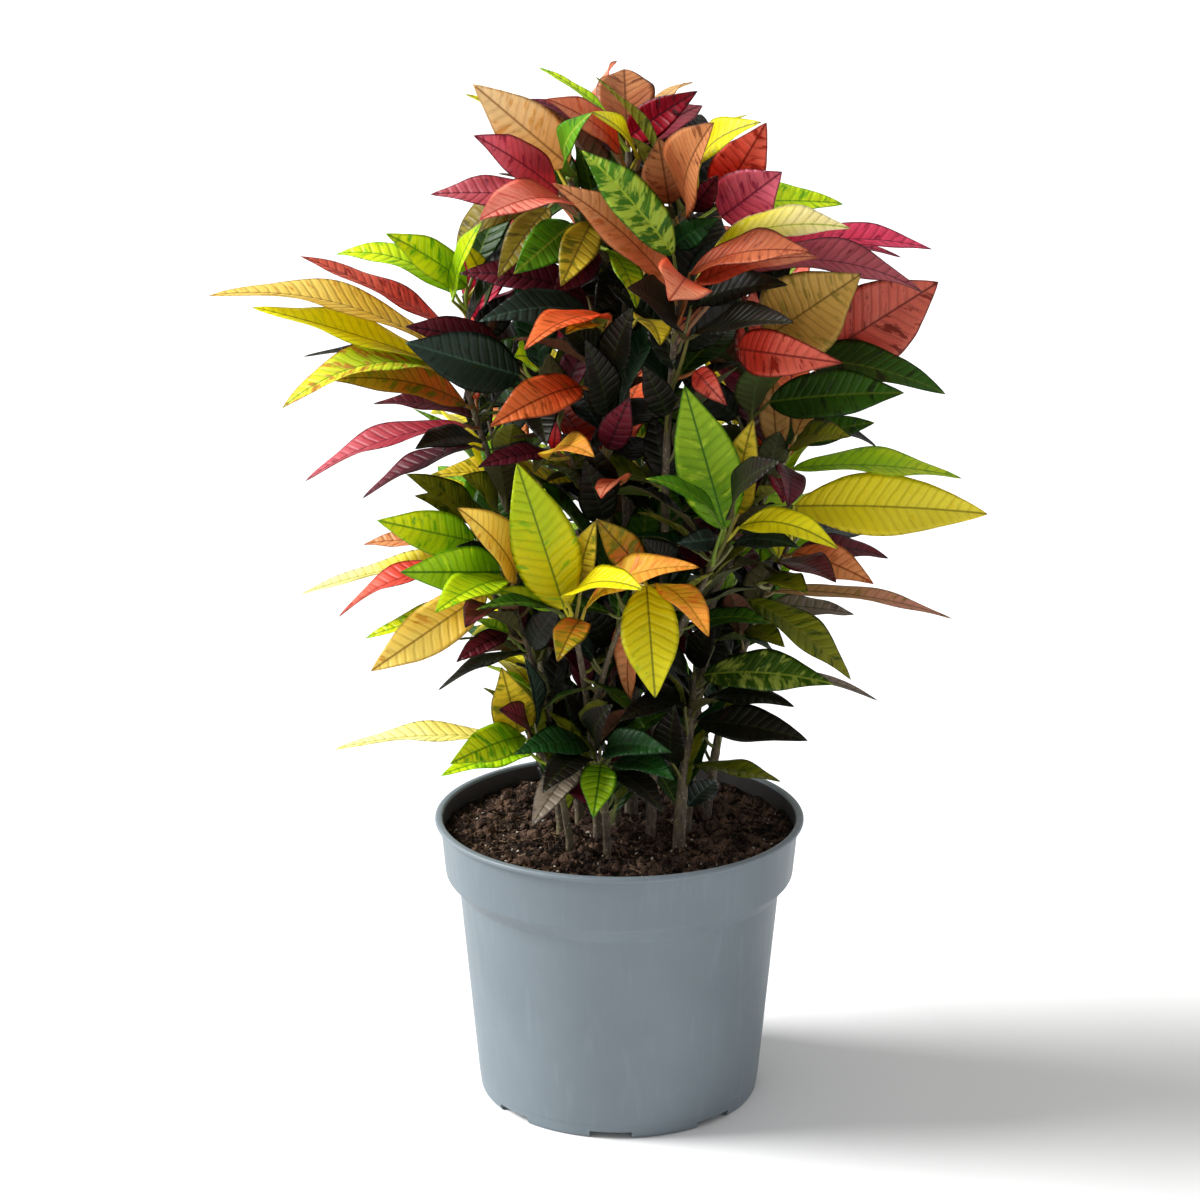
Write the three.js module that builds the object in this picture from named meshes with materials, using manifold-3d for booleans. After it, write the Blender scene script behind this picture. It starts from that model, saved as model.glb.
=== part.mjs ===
// Potted croton: a nursery pot, its potting soil and fourteen rooted stems with their leaves.
// Millimetres, +Z up, the viewer on the -Y side, origin on the underside of the pot, on its axis.
import * as THREE from "three";
import { mergeVertices } from "three/addons/utils/BufferGeometryUtils.js";
import Module from "manifold-3d";

const wasm = await Module();
wasm.setup();

// ---------------------------------------------------------------- driving dimensions

const POT_HEIGHT = 188;
const RIM_RADIUS = 120.2;           // outside of the rolled lip
const COLLAR_TOP_RADIUS = 116.5;
const COLLAR_FOOT_RADIUS = 113.3;
const COLLAR_FOOT_HEIGHT = 150.2;
const BODY_TOP_RADIUS = 104.5;
const BODY_TOP_HEIGHT = 140;
const BASE_RADIUS = 92;
const WALL = 1.9;
const LIP_DEPTH = 3.4;
const FOOT_RING_WIDTH = 11;
const FLOOR_LIFT = 5;               // underside of the floor over the ground, between foot and middle
const MIDDLE_RADIUS = 31;           // middle of the floor, which stands on the ground again
const FOOT_NOTCHES = 8;
const FIRST_NOTCH = -3.7;           // degrees from the front
const NOTCH_WIDTH = 27;
const NOTCH_HEIGHT = 4.6;
const DRAIN_HOLES = 8;
const DRAIN_RADIUS = 5;
const DRAIN_CIRCLE = 66;
const ROUND_STEPS = 36;

const SOIL_LEVEL = 176;
const SOIL_STEPS = 22;
const GAP = 0.35;                   // between a piece and what it rests in
const STEM_FOOT = 112;              // how deep the stems reach into the soil
const HOLE_SIDES = 6;

// The plant was laid out on the upright sheet through the pot's axis, as seen from the eye point.
const EYE = new THREE.Vector3(-12.6, -1757.9, 820);

const BLADE_THICKNESS = 1.7;        // at the midrib
const PETIOLE_RADIUS = 1.35;
const ROOT_RADIUS = 0.8;            // of the petiole's end inside the stem
const WIDTH_SHARE = 0.37;           // blade width over blade length
const FOLD = 0.24;                  // how far the edges rise beside the midrib, over half the width
const CLEARANCE = 0.5;              // kept between leaves of different stems
const JOIN_FACES = 34;              // most faces that joining a leaf to its stem may add
const SHORTEST_EDGE = 0.03;         // shorter ones, left where leaves join, are closed up
const GOLDEN_TURN = 2.399963;       // from one leaf of the spiral to the next

// ---------------------------------------------------------------- the bush, as read from the viewer

// Half the width of the closed bush on the sheet, at heights from the soil to the top.
const BUSH_HEIGHTS = [200, 240, 280, 320, 360, 400, 440, 480, 520, 560, 600, 640, 668];
const BUSH_HALF_WIDTHS = [55, 75, 105, 125, 132, 128, 130, 150, 150, 122, 95, 74, 30];
const FRONT_LIMIT = -38;            // leaves set by rule stay behind this depth

// Each stem: where it stands in the soil, its branches, and the leaves seen on them.
//   way      points of a branch on the sheet, with their depth: [x, z, depth]; the first branch
//            starts at the stem's foot, the others on the branch named by `on`
//   whorl    leaves set round a branch by rule: how many, and from which share of its length
//   leaves   [branch, base x, base z, base depth, tip x, tip z, depth gained, seen width, arch]
const STEMS = [
  {
    name: "leafy_stem_front", foot: [20, -20], radius: 3.4,
    branches: [
      { way: [[23, 250, -26], [28, 340, -34], [29, 420, -42], [33, 490, -56], [37, 532, -78]],
        whorl: [10, 0.45] },
      { way: [[26, 290, -29], [48, 332, -48], [66, 370, -66]], whorl: [4, 0.5] },
    ],
    leaves: [
      [0, 33, 552, -94, -24, 617, 4, 29, 0.1],        // green mottled
      [0, 31, 533, -84, -42, 597, -14, 27, 0.08],     // orange tan
      [0, 40, 538, -94, 30, 524, -84, 38, 0.05],      // coral
      [0, 57, 556, -60, 142, 569, -40, 19, 0.1],      // yellow cream
      [0, 43, 541, -86, 118, 560, -46, 18, 0.08],     // orange tan
      [0, 43, 532, -94, 123, 551, -52, 15, 0.08],     // coral red
      [0, 78, 551, -24, 193, 556, 0, 16, 0.08],       // crimson
      [0, 72, 543, -48, 188, 529, -12, 20, 0.12],     // crimson pink
      [0, 75, 560, -5, 174, 551, 10, 9, 0.06],        // crimson
      [0, 47, 480, -56, 67, 458, -40, 17, 0.1],       // red
      [1, 67, 378, -74, 40, 471, -14, 42, 0.07],      // green bright
      [1, 75, 388, -58, 84, 450, -34, 25, 0.07],      // olive gold
      [1, 75, 379, -72, 139, 365, -52, 18, 0.16],     // yellow
      [1, 72, 386, -66, 101, 422, -56, 13, 0.08],     // dark
      [1, 65, 378, -74, 16, 411, -44, 10, 0.1],       // green narrow
      [1, 72, 368, -60, 114, 366, -40, 14, 0.1],      // slate
      [1, 62, 372, -66, 36, 360, -62, 16, 0.1],       // grey green
      [0, 28, 336, -30, 14, 372, -44, 20, 0.08],      // dark
      [0, 30, 408, -38, 20, 452, -30, 22, 0.08],      // dark
      [0, 44, 520, -60, 104, 534, -50, 18, 0.08],     // near black
      [0, 42, 500, -62, 108, 510, -60, 14, 0.06],     // near black
    ],
  },
  {
    name: "leafy_stem_centre_low", foot: [-14, -16], radius: 3.0,
    branches: [
      { way: [[-18, 240, -24], [-24, 285, -46], [-31, 322, -76]], whorl: [3, 0.4] },
      { way: [[-19, 250, -28], [-4, 302, -56], [15, 346, -78]], whorl: [2, 0.5] },
    ],
    leaves: [
      [0, -35, 325, -82, -65, 421, -14, 44, 0.07],    // yellow lime
      [0, -25, 340, -68, -15, 384, -60, 20, 0.08],    // olive yellow
      [0, -34, 331, -88, 15, 338, -74, 13, 0.1],      // yellow
      [0, -25, 318, -84, -40, 290, -60, 22, 0.08],    // orange green
      [0, -22, 326, -84, 51, 353, -42, 17, 0.12],     // yellow orange
      [0, -36, 322, -76, -92, 325, -50, 8, 0.08],     // green dark
      [0, -40, 326, -72, -80, 338, -52, 14, 0.08],    // yellow veined
      [1, 14, 352, -74, -15, 385, -60, 24, 0.08],     // orange
      [1, 17, 342, -86, 23, 266, -34, 38, 0.1],       // yellow
      [1, 13, 330, -60, 7, 265, -24, 20, 0.08],       // orange
      [1, 24, 342, -66, 57, 307, -44, 18, 0.08],      // orange yellow
    ],
  },
  {
    name: "leafy_stem_base_front", foot: [-8, -44], radius: 2.6,
    branches: [
      { way: [[-10, 202, -50], [-14, 228, -62]], whorl: [0, 0] },
    ],
    leaves: [
      [0, -12, 221, -68, -17, 184, -52, 24, 0.08],    // green bright
      [0, -10, 229, -66, 34, 229, -46, 20, 0.16],     // green glossy
      [0, -4, 222, -60, 36, 210, -58, 18, 0.1],       // green glossy
      [0, -6, 215, -56, 28, 188, -66, 16, 0.1],       // dark
      [0, -20, 232, -62, -68, 228, -48, 20, 0.12],    // green glossy
      [0, -20, 225, -60, -50, 201, -64, 20, 0.1],     // dark
      [0, -26, 222, -54, -57, 178, -40, 22, 0.08],    // grey brown
      [0, -14, 234, -60, -4, 262, -50, 16, 0.1],      // dark
    ],
  },
  {
    name: "leafy_stem_base_left", foot: [-32, -38], radius: 2.5,
    branches: [
      { way: [[-40, 208, -46], [-58, 238, -56]], whorl: [0, 0] },
    ],
    leaves: [
      [0, -72, 238, -54, -185, 231, -6, 13, 0.05],    // pale yellow
      [0, -62, 240, -60, -110, 221, -60, 26, 0.08],   // green yellow
      [0, -57, 228, -58, -116, 213, -44, 16, 0.04],   // lime
      [0, -65, 242, -56, -76, 287, -44, 30, 0.06],    // olive lime
      [0, -58, 244, -60, -78, 264, -72, 15, 0.06],    // maroon
      [0, -54, 246, -48, -61, 293, -20, 11, 0.06],    // grey green
    ],
  },
  {
    name: "leafy_stem_left_low", foot: [-38, -6], radius: 3.0,
    branches: [
      { way: [[-44, 240, -14], [-58, 298, -26], [-74, 343, -44]], whorl: [7, 0.35] },
      { way: [[-52, 280, -22], [-78, 330, -12], [-90, 366, -8]], whorl: [4, 0.5] },
    ],
    leaves: [
      [0, -84, 338, -48, -160, 284, -30, 33, 0.06],   // golden
      [0, -80, 322, -32, -163, 306, -6, 17, 0.06],    // yellow green
      [0, -72, 345, -60, -118, 323, -60, 22, 0.06],   // lime
      [0, -76, 350, -50, -140, 350, -58, 34, 0.12],   // green bright
      [0, -66, 346, -56, -103, 392, -40, 26, 0.07],   // golden
      [0, -76, 356, -50, -104, 367, -70, 13, 0.06],   // grey blue
      [0, -72, 309, -28, -105, 290, -34, 15, 0.08],   // dark red
      [0, -56, 297, -22, -117, 271, -10, 9, 0.08],    // dark
      [0, -68, 324, -36, -99, 313, -70, 13, 0.06],    // maroon
      [0, -56, 300, -30, -36, 330, -50, 20, 0.08],    // dark
      [1, -90, 352, -18, -180, 320, -4, 14, 0.12],    // red
      [1, -92, 360, -6, -204, 335, 10, 13, 0.03],     // cream
      [1, -94, 366, 4, -163, 368, 10, 15, 0.06],      // orange grey
      [1, -92, 370, -22, -154, 384, -40, 30, 0.08],   // yellow green
      [1, -88, 380, -10, -135, 414, -30, 19, 0.08],   // olive green
      [1, -84, 384, 0, -130, 400, -30, 17, 0.08],     // olive green
      [1, -78, 386, -14, -100, 413, -60, 14, 0.08],   // olive
    ],
  },
  {
    name: "leafy_stem_centre", foot: [-2, 4], radius: 3.4,
    branches: [
      { way: [[-5, 260, -4], [-8, 350, -18], [-9, 440, -40], [-9, 505, -60]], whorl: [10, 0.4] },
      { way: [[-8, 365, -22], [-32, 425, -36], [-54, 474, -44]], whorl: [6, 0.35] },
    ],
    leaves: [
      [0, -6, 513, -68, -60, 493, -68, 15, 0.1],      // orange red
      [0, -18, 514, -50, -88, 511, -44, 24, 0.14],    // slate
      [0, -20, 526, -30, -100, 541, -14, 24, 0.1],    // maroon dark
      [0, 10, 512, -56, 25, 496, -70, 13, 0.08],      // olive yellow
      [0, -24, 470, -62, -82, 444, -62, 28, 0.1],     // orange
      [1, -62, 477, -46, -134, 498, -34, 38, 0.08],   // slate green
      [1, -72, 492, -36, -134, 508, -34, 24, 0.08],   // dark red
      [1, -46, 424, -46, -16, 425, -70, 11, 0.1],     // orange yellow
      [1, -45, 427, -42, -90, 418, -44, 14, 0.07],    // maroon
      [0, -8, 246, -10, -38, 276, -20, 26, 0.08],     // dark
      [0, -4, 236, -8, -12, 284, 4, 22, 0.06],        // near black
      [0, -6, 282, -6, -24, 312, 10, 22, 0.06],       // dark
      [0, -8, 300, -14, -26, 340, -30, 22, 0.06],     // near black
      [0, -10, 384, -24, -22, 424, -30, 26, 0.08],    // dark
      [0, -9, 448, -38, -16, 492, -30, 24, 0.08],     // dark
      [0, -12, 488, -50, -46, 514, -50, 22, 0.08],    // near black
      [1, -52, 462, -36, -46, 432, -50, 24, 0.08],    // dark
      [1, -50, 468, -36, -66, 500, -20, 22, 0.08],    // near black
    ],
  },
  {
    name: "leafy_stem_left_high", foot: [-26, 16], radius: 3.2,
    branches: [
      { way: [[-38, 270, 12], [-58, 350, 8], [-84, 430, 0], [-104, 496, -14]], whorl: [8, 0.5] },
      { way: [[-70, 388, 6], [-84, 460, 18], [-97, 526, 12]], whorl: [7, 0.5] },
    ],
    leaves: [
      [0, -96, 445, -16, -199, 409, -10, 15, 0.08],   // crimson pink
      [0, -92, 432, -6, -163, 398, -6, 12, 0.06],     // brown red
      [0, -88, 436, -18, -129, 430, -60, 17, 0.06],   // near black
      [0, -92, 450, 4, -155, 459, 0, 12, 0.08],       // black pink
      [0, -96, 458, -20, -182, 474, -34, 25, 0.12],   // orange olive
      [0, -112, 480, -28, -212, 456, -36, 20, 0.15],  // lime edged
      [0, -106, 490, 2, -198, 489, 10, 7, 0.05],      // dark
      [0, -116, 485, -26, -229, 520, -10, 20, 0.02],  // yellow bright
      [0, -113, 494, -18, -256, 527, -2, 19, 0.1],    // tan yellow
      [0, -108, 508, -10, -198, 552, -12, 14, 0.02],  // red
      [1, -102, 528, 8, -176, 553, 4, 19, 0.16],      // pale green
      [1, -95, 533, 8, -145, 566, -40, 25, 0.08],     // lime green
      [1, -104, 524, -12, -85, 573, -34, 9, 0.06],    // lime narrow
      [1, -84, 538, 16, -96, 560, -50, 14, 0.06],     // yellow
      [0, -86, 436, -2, -92, 478, 10, 20, 0.08],      // dark
      [1, -90, 500, 14, -64, 530, 0, 22, 0.08],       // near black
    ],
  },
  {
    name: "leafy_stem_right", foot: [44, -2], radius: 3.4,
    branches: [
      { way: [[51, 270, 0], [64, 360, 2], [78, 430, -6], [92, 498, -18]], whorl: [9, 0.45] },
      { way: [[60, 336, 1], [84, 384, -6], [104, 424, -18]], whorl: [6, 0.4] },
    ],
    leaves: [
      [0, 92, 502, -24, 149, 541, -50, 58, 0.07],     // tan
      [0, 120, 486, 8, 197, 536, -4, 56, 0.12],       // red
      [0, 74, 494, -46, 139, 480, -60, 31, 0.18],     // red brown
      [0, 104, 486, -6, 204, 465, -24, 24, 0.08],     // green dark
      [0, 93, 460, -20, 178, 466, -50, 32, 0.04],     // green dark
      [0, 96, 456, 14, 162, 431, 14, 10, 0.06],       // dark
      [1, 106, 434, 4, 160, 447, 10, 18, 0.06],       // green dark
      [1, 107, 430, -22, 145, 438, -60, 15, 0.08],    // olive
      [1, 108, 417, -20, 216, 411, -10, 15, 0.05],    // lime
      [1, 102, 420, -30, 106, 392, -60, 17, 0.08],    // maroon
      [0, 60, 300, 8, 78, 345, 30, 20, 0.08],         // dark
      [0, 74, 450, -2, 36, 480, -10, 24, 0.08],       // near black
    ],
  },
  {
    name: "leafy_stem_right_low", foot: [58, 22], radius: 3.2,
    branches: [
      { way: [[66, 250, 22], [84, 312, 12], [108, 370, -10]], whorl: [9, 0.3] },
    ],
    leaves: [
      [0, 110, 393, -18, 233, 388, -20, 41, 0.04],    // yellow
      [0, 110, 362, -22, 162, 342, -54, 23, 0.08],    // orange tan
      [0, 114, 366, 2, 171, 359, 14, 13, 0.06],       // maroon
      [0, 114, 374, 8, 160, 374, 60, 14, 0.06],       // grey green
      [0, 100, 356, -22, 138, 343, -70, 14, 0.06],    // maroon
      [0, 98, 337, -6, 213, 319, 4, 9, 0.05],         // tan pink
      [0, 95, 328, 10, 150, 322, 20, 12, 0.02],       // grey
      [0, 88, 342, -16, 120, 336, -70, 11, 0.06],     // olive
      [0, 82, 332, -20, 149, 278, -34, 21, 0.07],     // olive green
      [0, 82, 312, 0, 106, 300, -60, 15, 0.08],       // olive
      [0, 72, 262, 30, 66, 318, 20, 26, 0.08],        // dark
    ],
  },
  {
    name: "leafy_stem_base_right", foot: [38, -34], radius: 4.2,
    branches: [
      { way: [[41, 205, -30], [45, 240, -22], [48, 280, -16]], whorl: [0, 0] },
    ],
    leaves: [
      [0, 53, 281, -20, 138, 275, -40, 27, 0.08],     // mottled dark
      [0, 56, 276, -6, 167, 264, 4, 9, 0.1],          // grey
      [0, 55, 266, -16, 113, 260, -34, 13, 0.06],     // dark
      [0, 50, 250, -20, 122, 237, -40, 24, 0.06],     // dark
      [0, 48, 220, -24, 105, 209, -30, 10, 0.03],     // grey olive
      [0, 44, 280, -26, 12, 300, -60, 18, 0.08],      // dark
      [0, 48, 288, -20, 62, 318, -60, 20, 0.08],      // dark
      [0, 42, 262, -28, 0, 250, -50, 16, 0.08],       // dark
      [0, 36, 256, -24, 12, 284, -30, 22, 0.08],      // near black
      [0, 34, 222, -36, 36, 262, -40, 22, 0.06],      // dark
    ],
  },
  {
    name: "leafy_stem_top", foot: [8, 26], radius: 4.4,
    branches: [
      { way: [[9, 260, 22], [6, 360, 18], [3, 450, 10], [4, 530, 6], [4, 575, 14], [5, 616, 20]],
        whorl: [11, 0.5] },
      { way: [[4, 525, 6], [-14, 560, -4], [-32, 600, -16]], whorl: [6, 0.3] },
      { way: [[3, 510, 7], [24, 552, -10], [45, 588, -28]], whorl: [6, 0.3] },
    ],
    leaves: [
      [1, -32, 608, -18, -90, 657, -30, 38, 0.12],    // gold tan
      [1, -38, 604, -4, -95, 651, 10, 13, 0.1],       // yellow
      [1, -38, 591, -24, -90, 626, -56, 26, 0.04],    // crimson rose
      [1, -30, 584, -40, -87, 574, -62, 22, 0.08],    // salmon
      [1, -42, 588, -8, -117, 590, 4, 20, 0.03],      // pink maroon
      [1, -40, 586, 6, -101, 546, 20, 22, 0.3],       // olive brown
      [1, -44, 582, -14, -76, 538, -40, 22, 0.08],    // olive brown
      [1, -28, 602, -38, -17, 640, -62, 10, 0.14],    // green narrow
      [1, -18, 573, -44, -37, 533, -50, 25, 0.06],    // olive gold
      [1, -30, 572, -16, -66, 541, -50, 28, 0.06],    // green
      [1, -8, 556, -30, 10, 519, -50, 14, 0.08],      // yellow green
      [0, -8, 638, 20, -50, 667, 20, 6, 0.04],        // pale green
      [0, 0, 616, 2, -46, 648, -50, 20, 0.08],        // coral
      [0, 10, 612, -2, -18, 640, -74, 9, 0.06],       // yellow
      [0, 4, 624, 20, 47, 653, -10, 24, 0.1],         // crimson dark
      [0, 4, 626, 32, 2, 666, 50, 40, 0.1],           // orange olive
      [0, -6, 626, 34, -2, 671, 70, 10, 0.1],         // coral
      [0, 14, 620, 22, 50, 644, 40, 18, 0.08],        // rose dark
      [0, 12, 626, 26, 44, 658, 60, 9, 0.06],         // tan
      [2, 47, 595, -70, 86, 634, -64, 13, 0.14],      // yellow
      [2, 41, 582, -44, 57, 634, -64, 26, 0.06],      // brown red
      [2, 30, 584, -40, 23, 625, -56, 31, 0.06],      // brown red
      [2, 34, 560, -40, 61, 576, -40, 19, 0.08],      // green glossy
      [2, 62, 588, -16, 89, 634, -40, 36, 0.08],      // red dark
      [2, 62, 576, -34, 99, 604, -72, 42, 0.08],      // crimson
      [2, 44, 580, -50, 60, 602, -86, 18, 0.06],      // maroon
      [2, 62, 584, -2, 137, 584, 16, 19, 0.03],       // lime
      [0, 14, 236, 26, 44, 282, 24, 26, 0.08],        // dark
      [0, 6, 506, 6, 36, 540, 0, 26, 0.08],           // dark
    ],
  },
  {
    name: "leafy_stem_back", foot: [2, 50], radius: 3.6,
    branches: [
      { way: [[0, 260, 58], [-6, 360, 66], [-6, 450, 72], [0, 530, 70]], whorl: [14, 0.35] },
      { way: [[-2, 320, 63], [10, 380, 92], [20, 440, 112]], whorl: [10, 0.3] },
    ],
    leaves: [],
  },
  {
    name: "leafy_stem_back_left", foot: [-36, 44], radius: 3.4,
    branches: [
      { way: [[-44, 260, 56], [-60, 340, 68], [-72, 420, 74]], whorl: [16, 0.3] },
      { way: [[-48, 280, 58], [-52, 330, 88], [-54, 376, 110]], whorl: [13, 0.3] },
    ],
    leaves: [],
  },
  {
    name: "leafy_stem_back_right", foot: [38, 48], radius: 3.4,
    branches: [
      { way: [[46, 260, 58], [60, 340, 66], [76, 430, 70], [84, 490, 62]], whorl: [17, 0.3] },
      { way: [[50, 290, 60], [66, 330, 86], [76, 366, 104]], whorl: [13, 0.3] },
    ],
    leaves: [],
  },
];

// ---------------------------------------------------------------- small helpers

const UP = new THREE.Vector3(0, 0, 1);

// The point that a viewer at the eye sees at (x, z) of the sheet, brought to the given depth.
function onSheet(x, z, depth) {
  const scale = 1 - depth / EYE.y;
  return new THREE.Vector3(EYE.x + (x - EYE.x) * scale, depth, EYE.z + (z - EYE.z) * scale);
}

// The place on the sheet that a point covers for the viewer.
function seenAt(point) {
  const scale = 1 - point.y / EYE.y;
  return { x: EYE.x + (point.x - EYE.x) / scale, z: EYE.z + (point.z - EYE.z) / scale };
}

// A repeatable draw between 0 and 1 for a pair of whole numbers.
function draw(row, column) {
  let hash = (Math.imul(row, 374761393) + Math.imul(column, 668265263)) | 0;
  hash = Math.imul(hash ^ (hash >>> 13), 1274126177);
  return ((hash ^ (hash >>> 16)) >>> 0) / 4294967296;
}

const mix = (low, high, share) => low + (high - low) * share;

const radians = (degrees) => (degrees * Math.PI) / 180;

function bushHalfWidth(height) {
  let step = 0;
  while (step < BUSH_HEIGHTS.length - 2 && height > BUSH_HEIGHTS[step + 1]) {
    step += 1;
  }
  const share = (height - BUSH_HEIGHTS[step]) / (BUSH_HEIGHTS[step + 1] - BUSH_HEIGHTS[step]);
  return mix(BUSH_HALF_WIDTHS[step], BUSH_HALF_WIDTHS[step + 1], share);
}

// `vector` without its part along the unit vector `axis`, at unit length.
function across(vector, axis) {
  return vector.clone().addScaledVector(axis, -vector.dot(axis)).normalize();
}

// A closed skin over rings of equal count, from a flat first ring to a point or a flat last ring.
// Its quads are split alike on both sides of each ring, so that a thin blade's faces never cross.
function skin(rings, tip) {
  const count = rings[0].length;
  const points = rings.flat();
  const faces = [];
  const at = (ring, place) => ring * count + (place % count);
  for (let ring = 0; ring < rings.length - 1; ring += 1) {
    for (let place = 0; place < count; place += 1) {
      const corners = [at(ring, place), at(ring, place + 1), at(ring + 1, place + 1), at(ring + 1, place)];
      const [a, b, c, d] = corners;
      faces.push(...(place % 2 === 0 ? [a, b, c, a, c, d] : [a, b, d, b, c, d]));
    }
  }
  const last = rings.length - 1;
  for (let place = 1; place < count - 1; place += 1) {
    faces.push(at(0, 0), at(0, place + 1), at(0, place));
    if (!tip) {
      faces.push(at(last, 0), at(last, place), at(last, place + 1));
    }
  }
  if (tip) {
    points.push(tip);
    for (let place = 0; place < count; place += 1) {
      faces.push(at(last, place), at(last, place + 1), points.length - 1);
    }
  }
  const geometry = new THREE.BufferGeometry().setFromPoints(points);
  geometry.setIndex(faces);
  return geometry;
}

// ---------------------------------------------------------------- joining and cutting

function solid(geometry, move = new THREE.Matrix4()) {
  const bare = geometry.clone().applyMatrix4(move);
  bare.deleteAttribute("normal");
  bare.deleteAttribute("uv");
  const closed = mergeVertices(bare, 1e-4);
  const vertProperties = new Float32Array(closed.attributes.position.array);
  const triVerts = new Uint32Array(closed.index.array);
  return new wasm.Manifold(new wasm.Mesh({ numProp: 3, vertProperties, triVerts }));
}

// The faces of a joined body, with the tiny edges closed up that joining leaves where faces graze.
function closedUp(points, faces) {
  const stands = points.map((_, index) => index);
  const keeper = (index) => (stands[index] === index ? index : keeper(stands[index]));
  for (let corner = 0; corner < faces.length; corner += 1) {
    const next = corner % 3 === 2 ? corner - 2 : corner + 1;
    const [a, b] = [keeper(faces[corner]), keeper(faces[next])];
    if (a !== b && points[a].distanceTo(points[b]) < SHORTEST_EDGE) {
      stands[b] = a;
    }
  }
  const closed = [];
  for (let face = 0; face < faces.length; face += 3) {
    const [a, b, c] = [0, 1, 2].map((corner) => keeper(faces[face + corner]));
    if (a !== b && b !== c && c !== a) {
      closed.push(a, b, c);
    }
  }
  return closed;
}

function geometryOf(body) {
  const { vertProperties, triVerts } = body.getMesh();
  const points = Array.from({ length: vertProperties.length / 3 }, (_, index) => (
    new THREE.Vector3().fromArray(vertProperties, index * 3)
  ));
  const geometry = new THREE.BufferGeometry().setFromPoints(points);
  geometry.setIndex(closedUp(points, Array.from(triVerts)));
  return mergeVertices(geometry, SHORTEST_EDGE / 100);
}

function largestBody(body) {
  return body.decompose().sort((a, b) => b.volume() - a.volume())[0];
}

// ---------------------------------------------------------------- pot

const LIP_BOTTOM = POT_HEIGHT - LIP_DEPTH;
const FOOT_INNER_RADIUS = BASE_RADIUS - 1.5 - FOOT_RING_WIDTH;

const lathe = (profile, steps) => new THREE.LatheGeometry(
  profile.map(([radius, height]) => new THREE.Vector2(radius, height)), steps,
).applyMatrix4(new THREE.Matrix4().makeRotationX(Math.PI / 2));

function potBody() {
  const profile = [
    [0, 0],
    [MIDDLE_RADIUS - 2, 0],
    [MIDDLE_RADIUS, FLOOR_LIFT],
    [FOOT_INNER_RADIUS - 1, FLOOR_LIFT],
    [FOOT_INNER_RADIUS, 0],
    [BASE_RADIUS - 1.5, 0],
    [BASE_RADIUS, 2.4],
    [BODY_TOP_RADIUS, BODY_TOP_HEIGHT],
    [COLLAR_FOOT_RADIUS, COLLAR_FOOT_HEIGHT],
    [COLLAR_TOP_RADIUS, LIP_BOTTOM],
    [RIM_RADIUS - 1, LIP_BOTTOM],
    [RIM_RADIUS, POT_HEIGHT - LIP_DEPTH / 2],
    [RIM_RADIUS - 1, POT_HEIGHT],
    [COLLAR_TOP_RADIUS - WALL + 1, POT_HEIGHT],
    [COLLAR_TOP_RADIUS - WALL, LIP_BOTTOM],
    [COLLAR_FOOT_RADIUS - WALL, COLLAR_FOOT_HEIGHT + 1],
    [BODY_TOP_RADIUS - WALL, BODY_TOP_HEIGHT + 1],
    [BASE_RADIUS - WALL, FLOOR_LIFT + WALL],
    [MIDDLE_RADIUS + WALL, FLOOR_LIFT + WALL],
    [MIDDLE_RADIUS - 1, WALL],
    [0, WALL],
  ];
  let pot = solid(lathe(profile, ROUND_STEPS));
  for (let index = 0; index < FOOT_NOTCHES; index += 1) {
    const turn = new THREE.Matrix4().makeRotationZ(radians(FIRST_NOTCH + (index * 360) / FOOT_NOTCHES));
    const middle = new THREE.Matrix4().makeTranslation(0, -BASE_RADIUS + FOOT_RING_WIDTH / 2, 0);
    const notch = new THREE.BoxGeometry(NOTCH_WIDTH, FOOT_RING_WIDTH * 2.5, NOTCH_HEIGHT * 2);
    pot = pot.subtract(solid(notch, turn.multiply(middle)));
  }
  for (let index = 0; index < DRAIN_HOLES; index += 1) {
    const heading = radians(FIRST_NOTCH + ((index + 0.5) * 360) / DRAIN_HOLES);
    const turn = new THREE.Matrix4().makeRotationZ(heading);
    const hole = new THREE.CylinderGeometry(DRAIN_RADIUS, DRAIN_RADIUS, WALL * 4, 8);
    hole.rotateX(Math.PI / 2);
    hole.translate(0, -DRAIN_CIRCLE, FLOOR_LIFT + WALL / 2);
    pot = pot.subtract(solid(hole, turn));
  }
  return pot;
}

// ---------------------------------------------------------------- soil

// How far the crumbly surface stands over its level, at a place.
function soilRelief(x, y) {
  const swell = 1.6 * Math.sin(x / 17 + 1.3) * Math.cos(y / 21 - 0.4);
  const clods = 1.1 * Math.sin(x / 5.3 + y / 7.9) * Math.cos(y / 4.7 - x / 9.1 + 2);
  return swell + clods;
}

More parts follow.
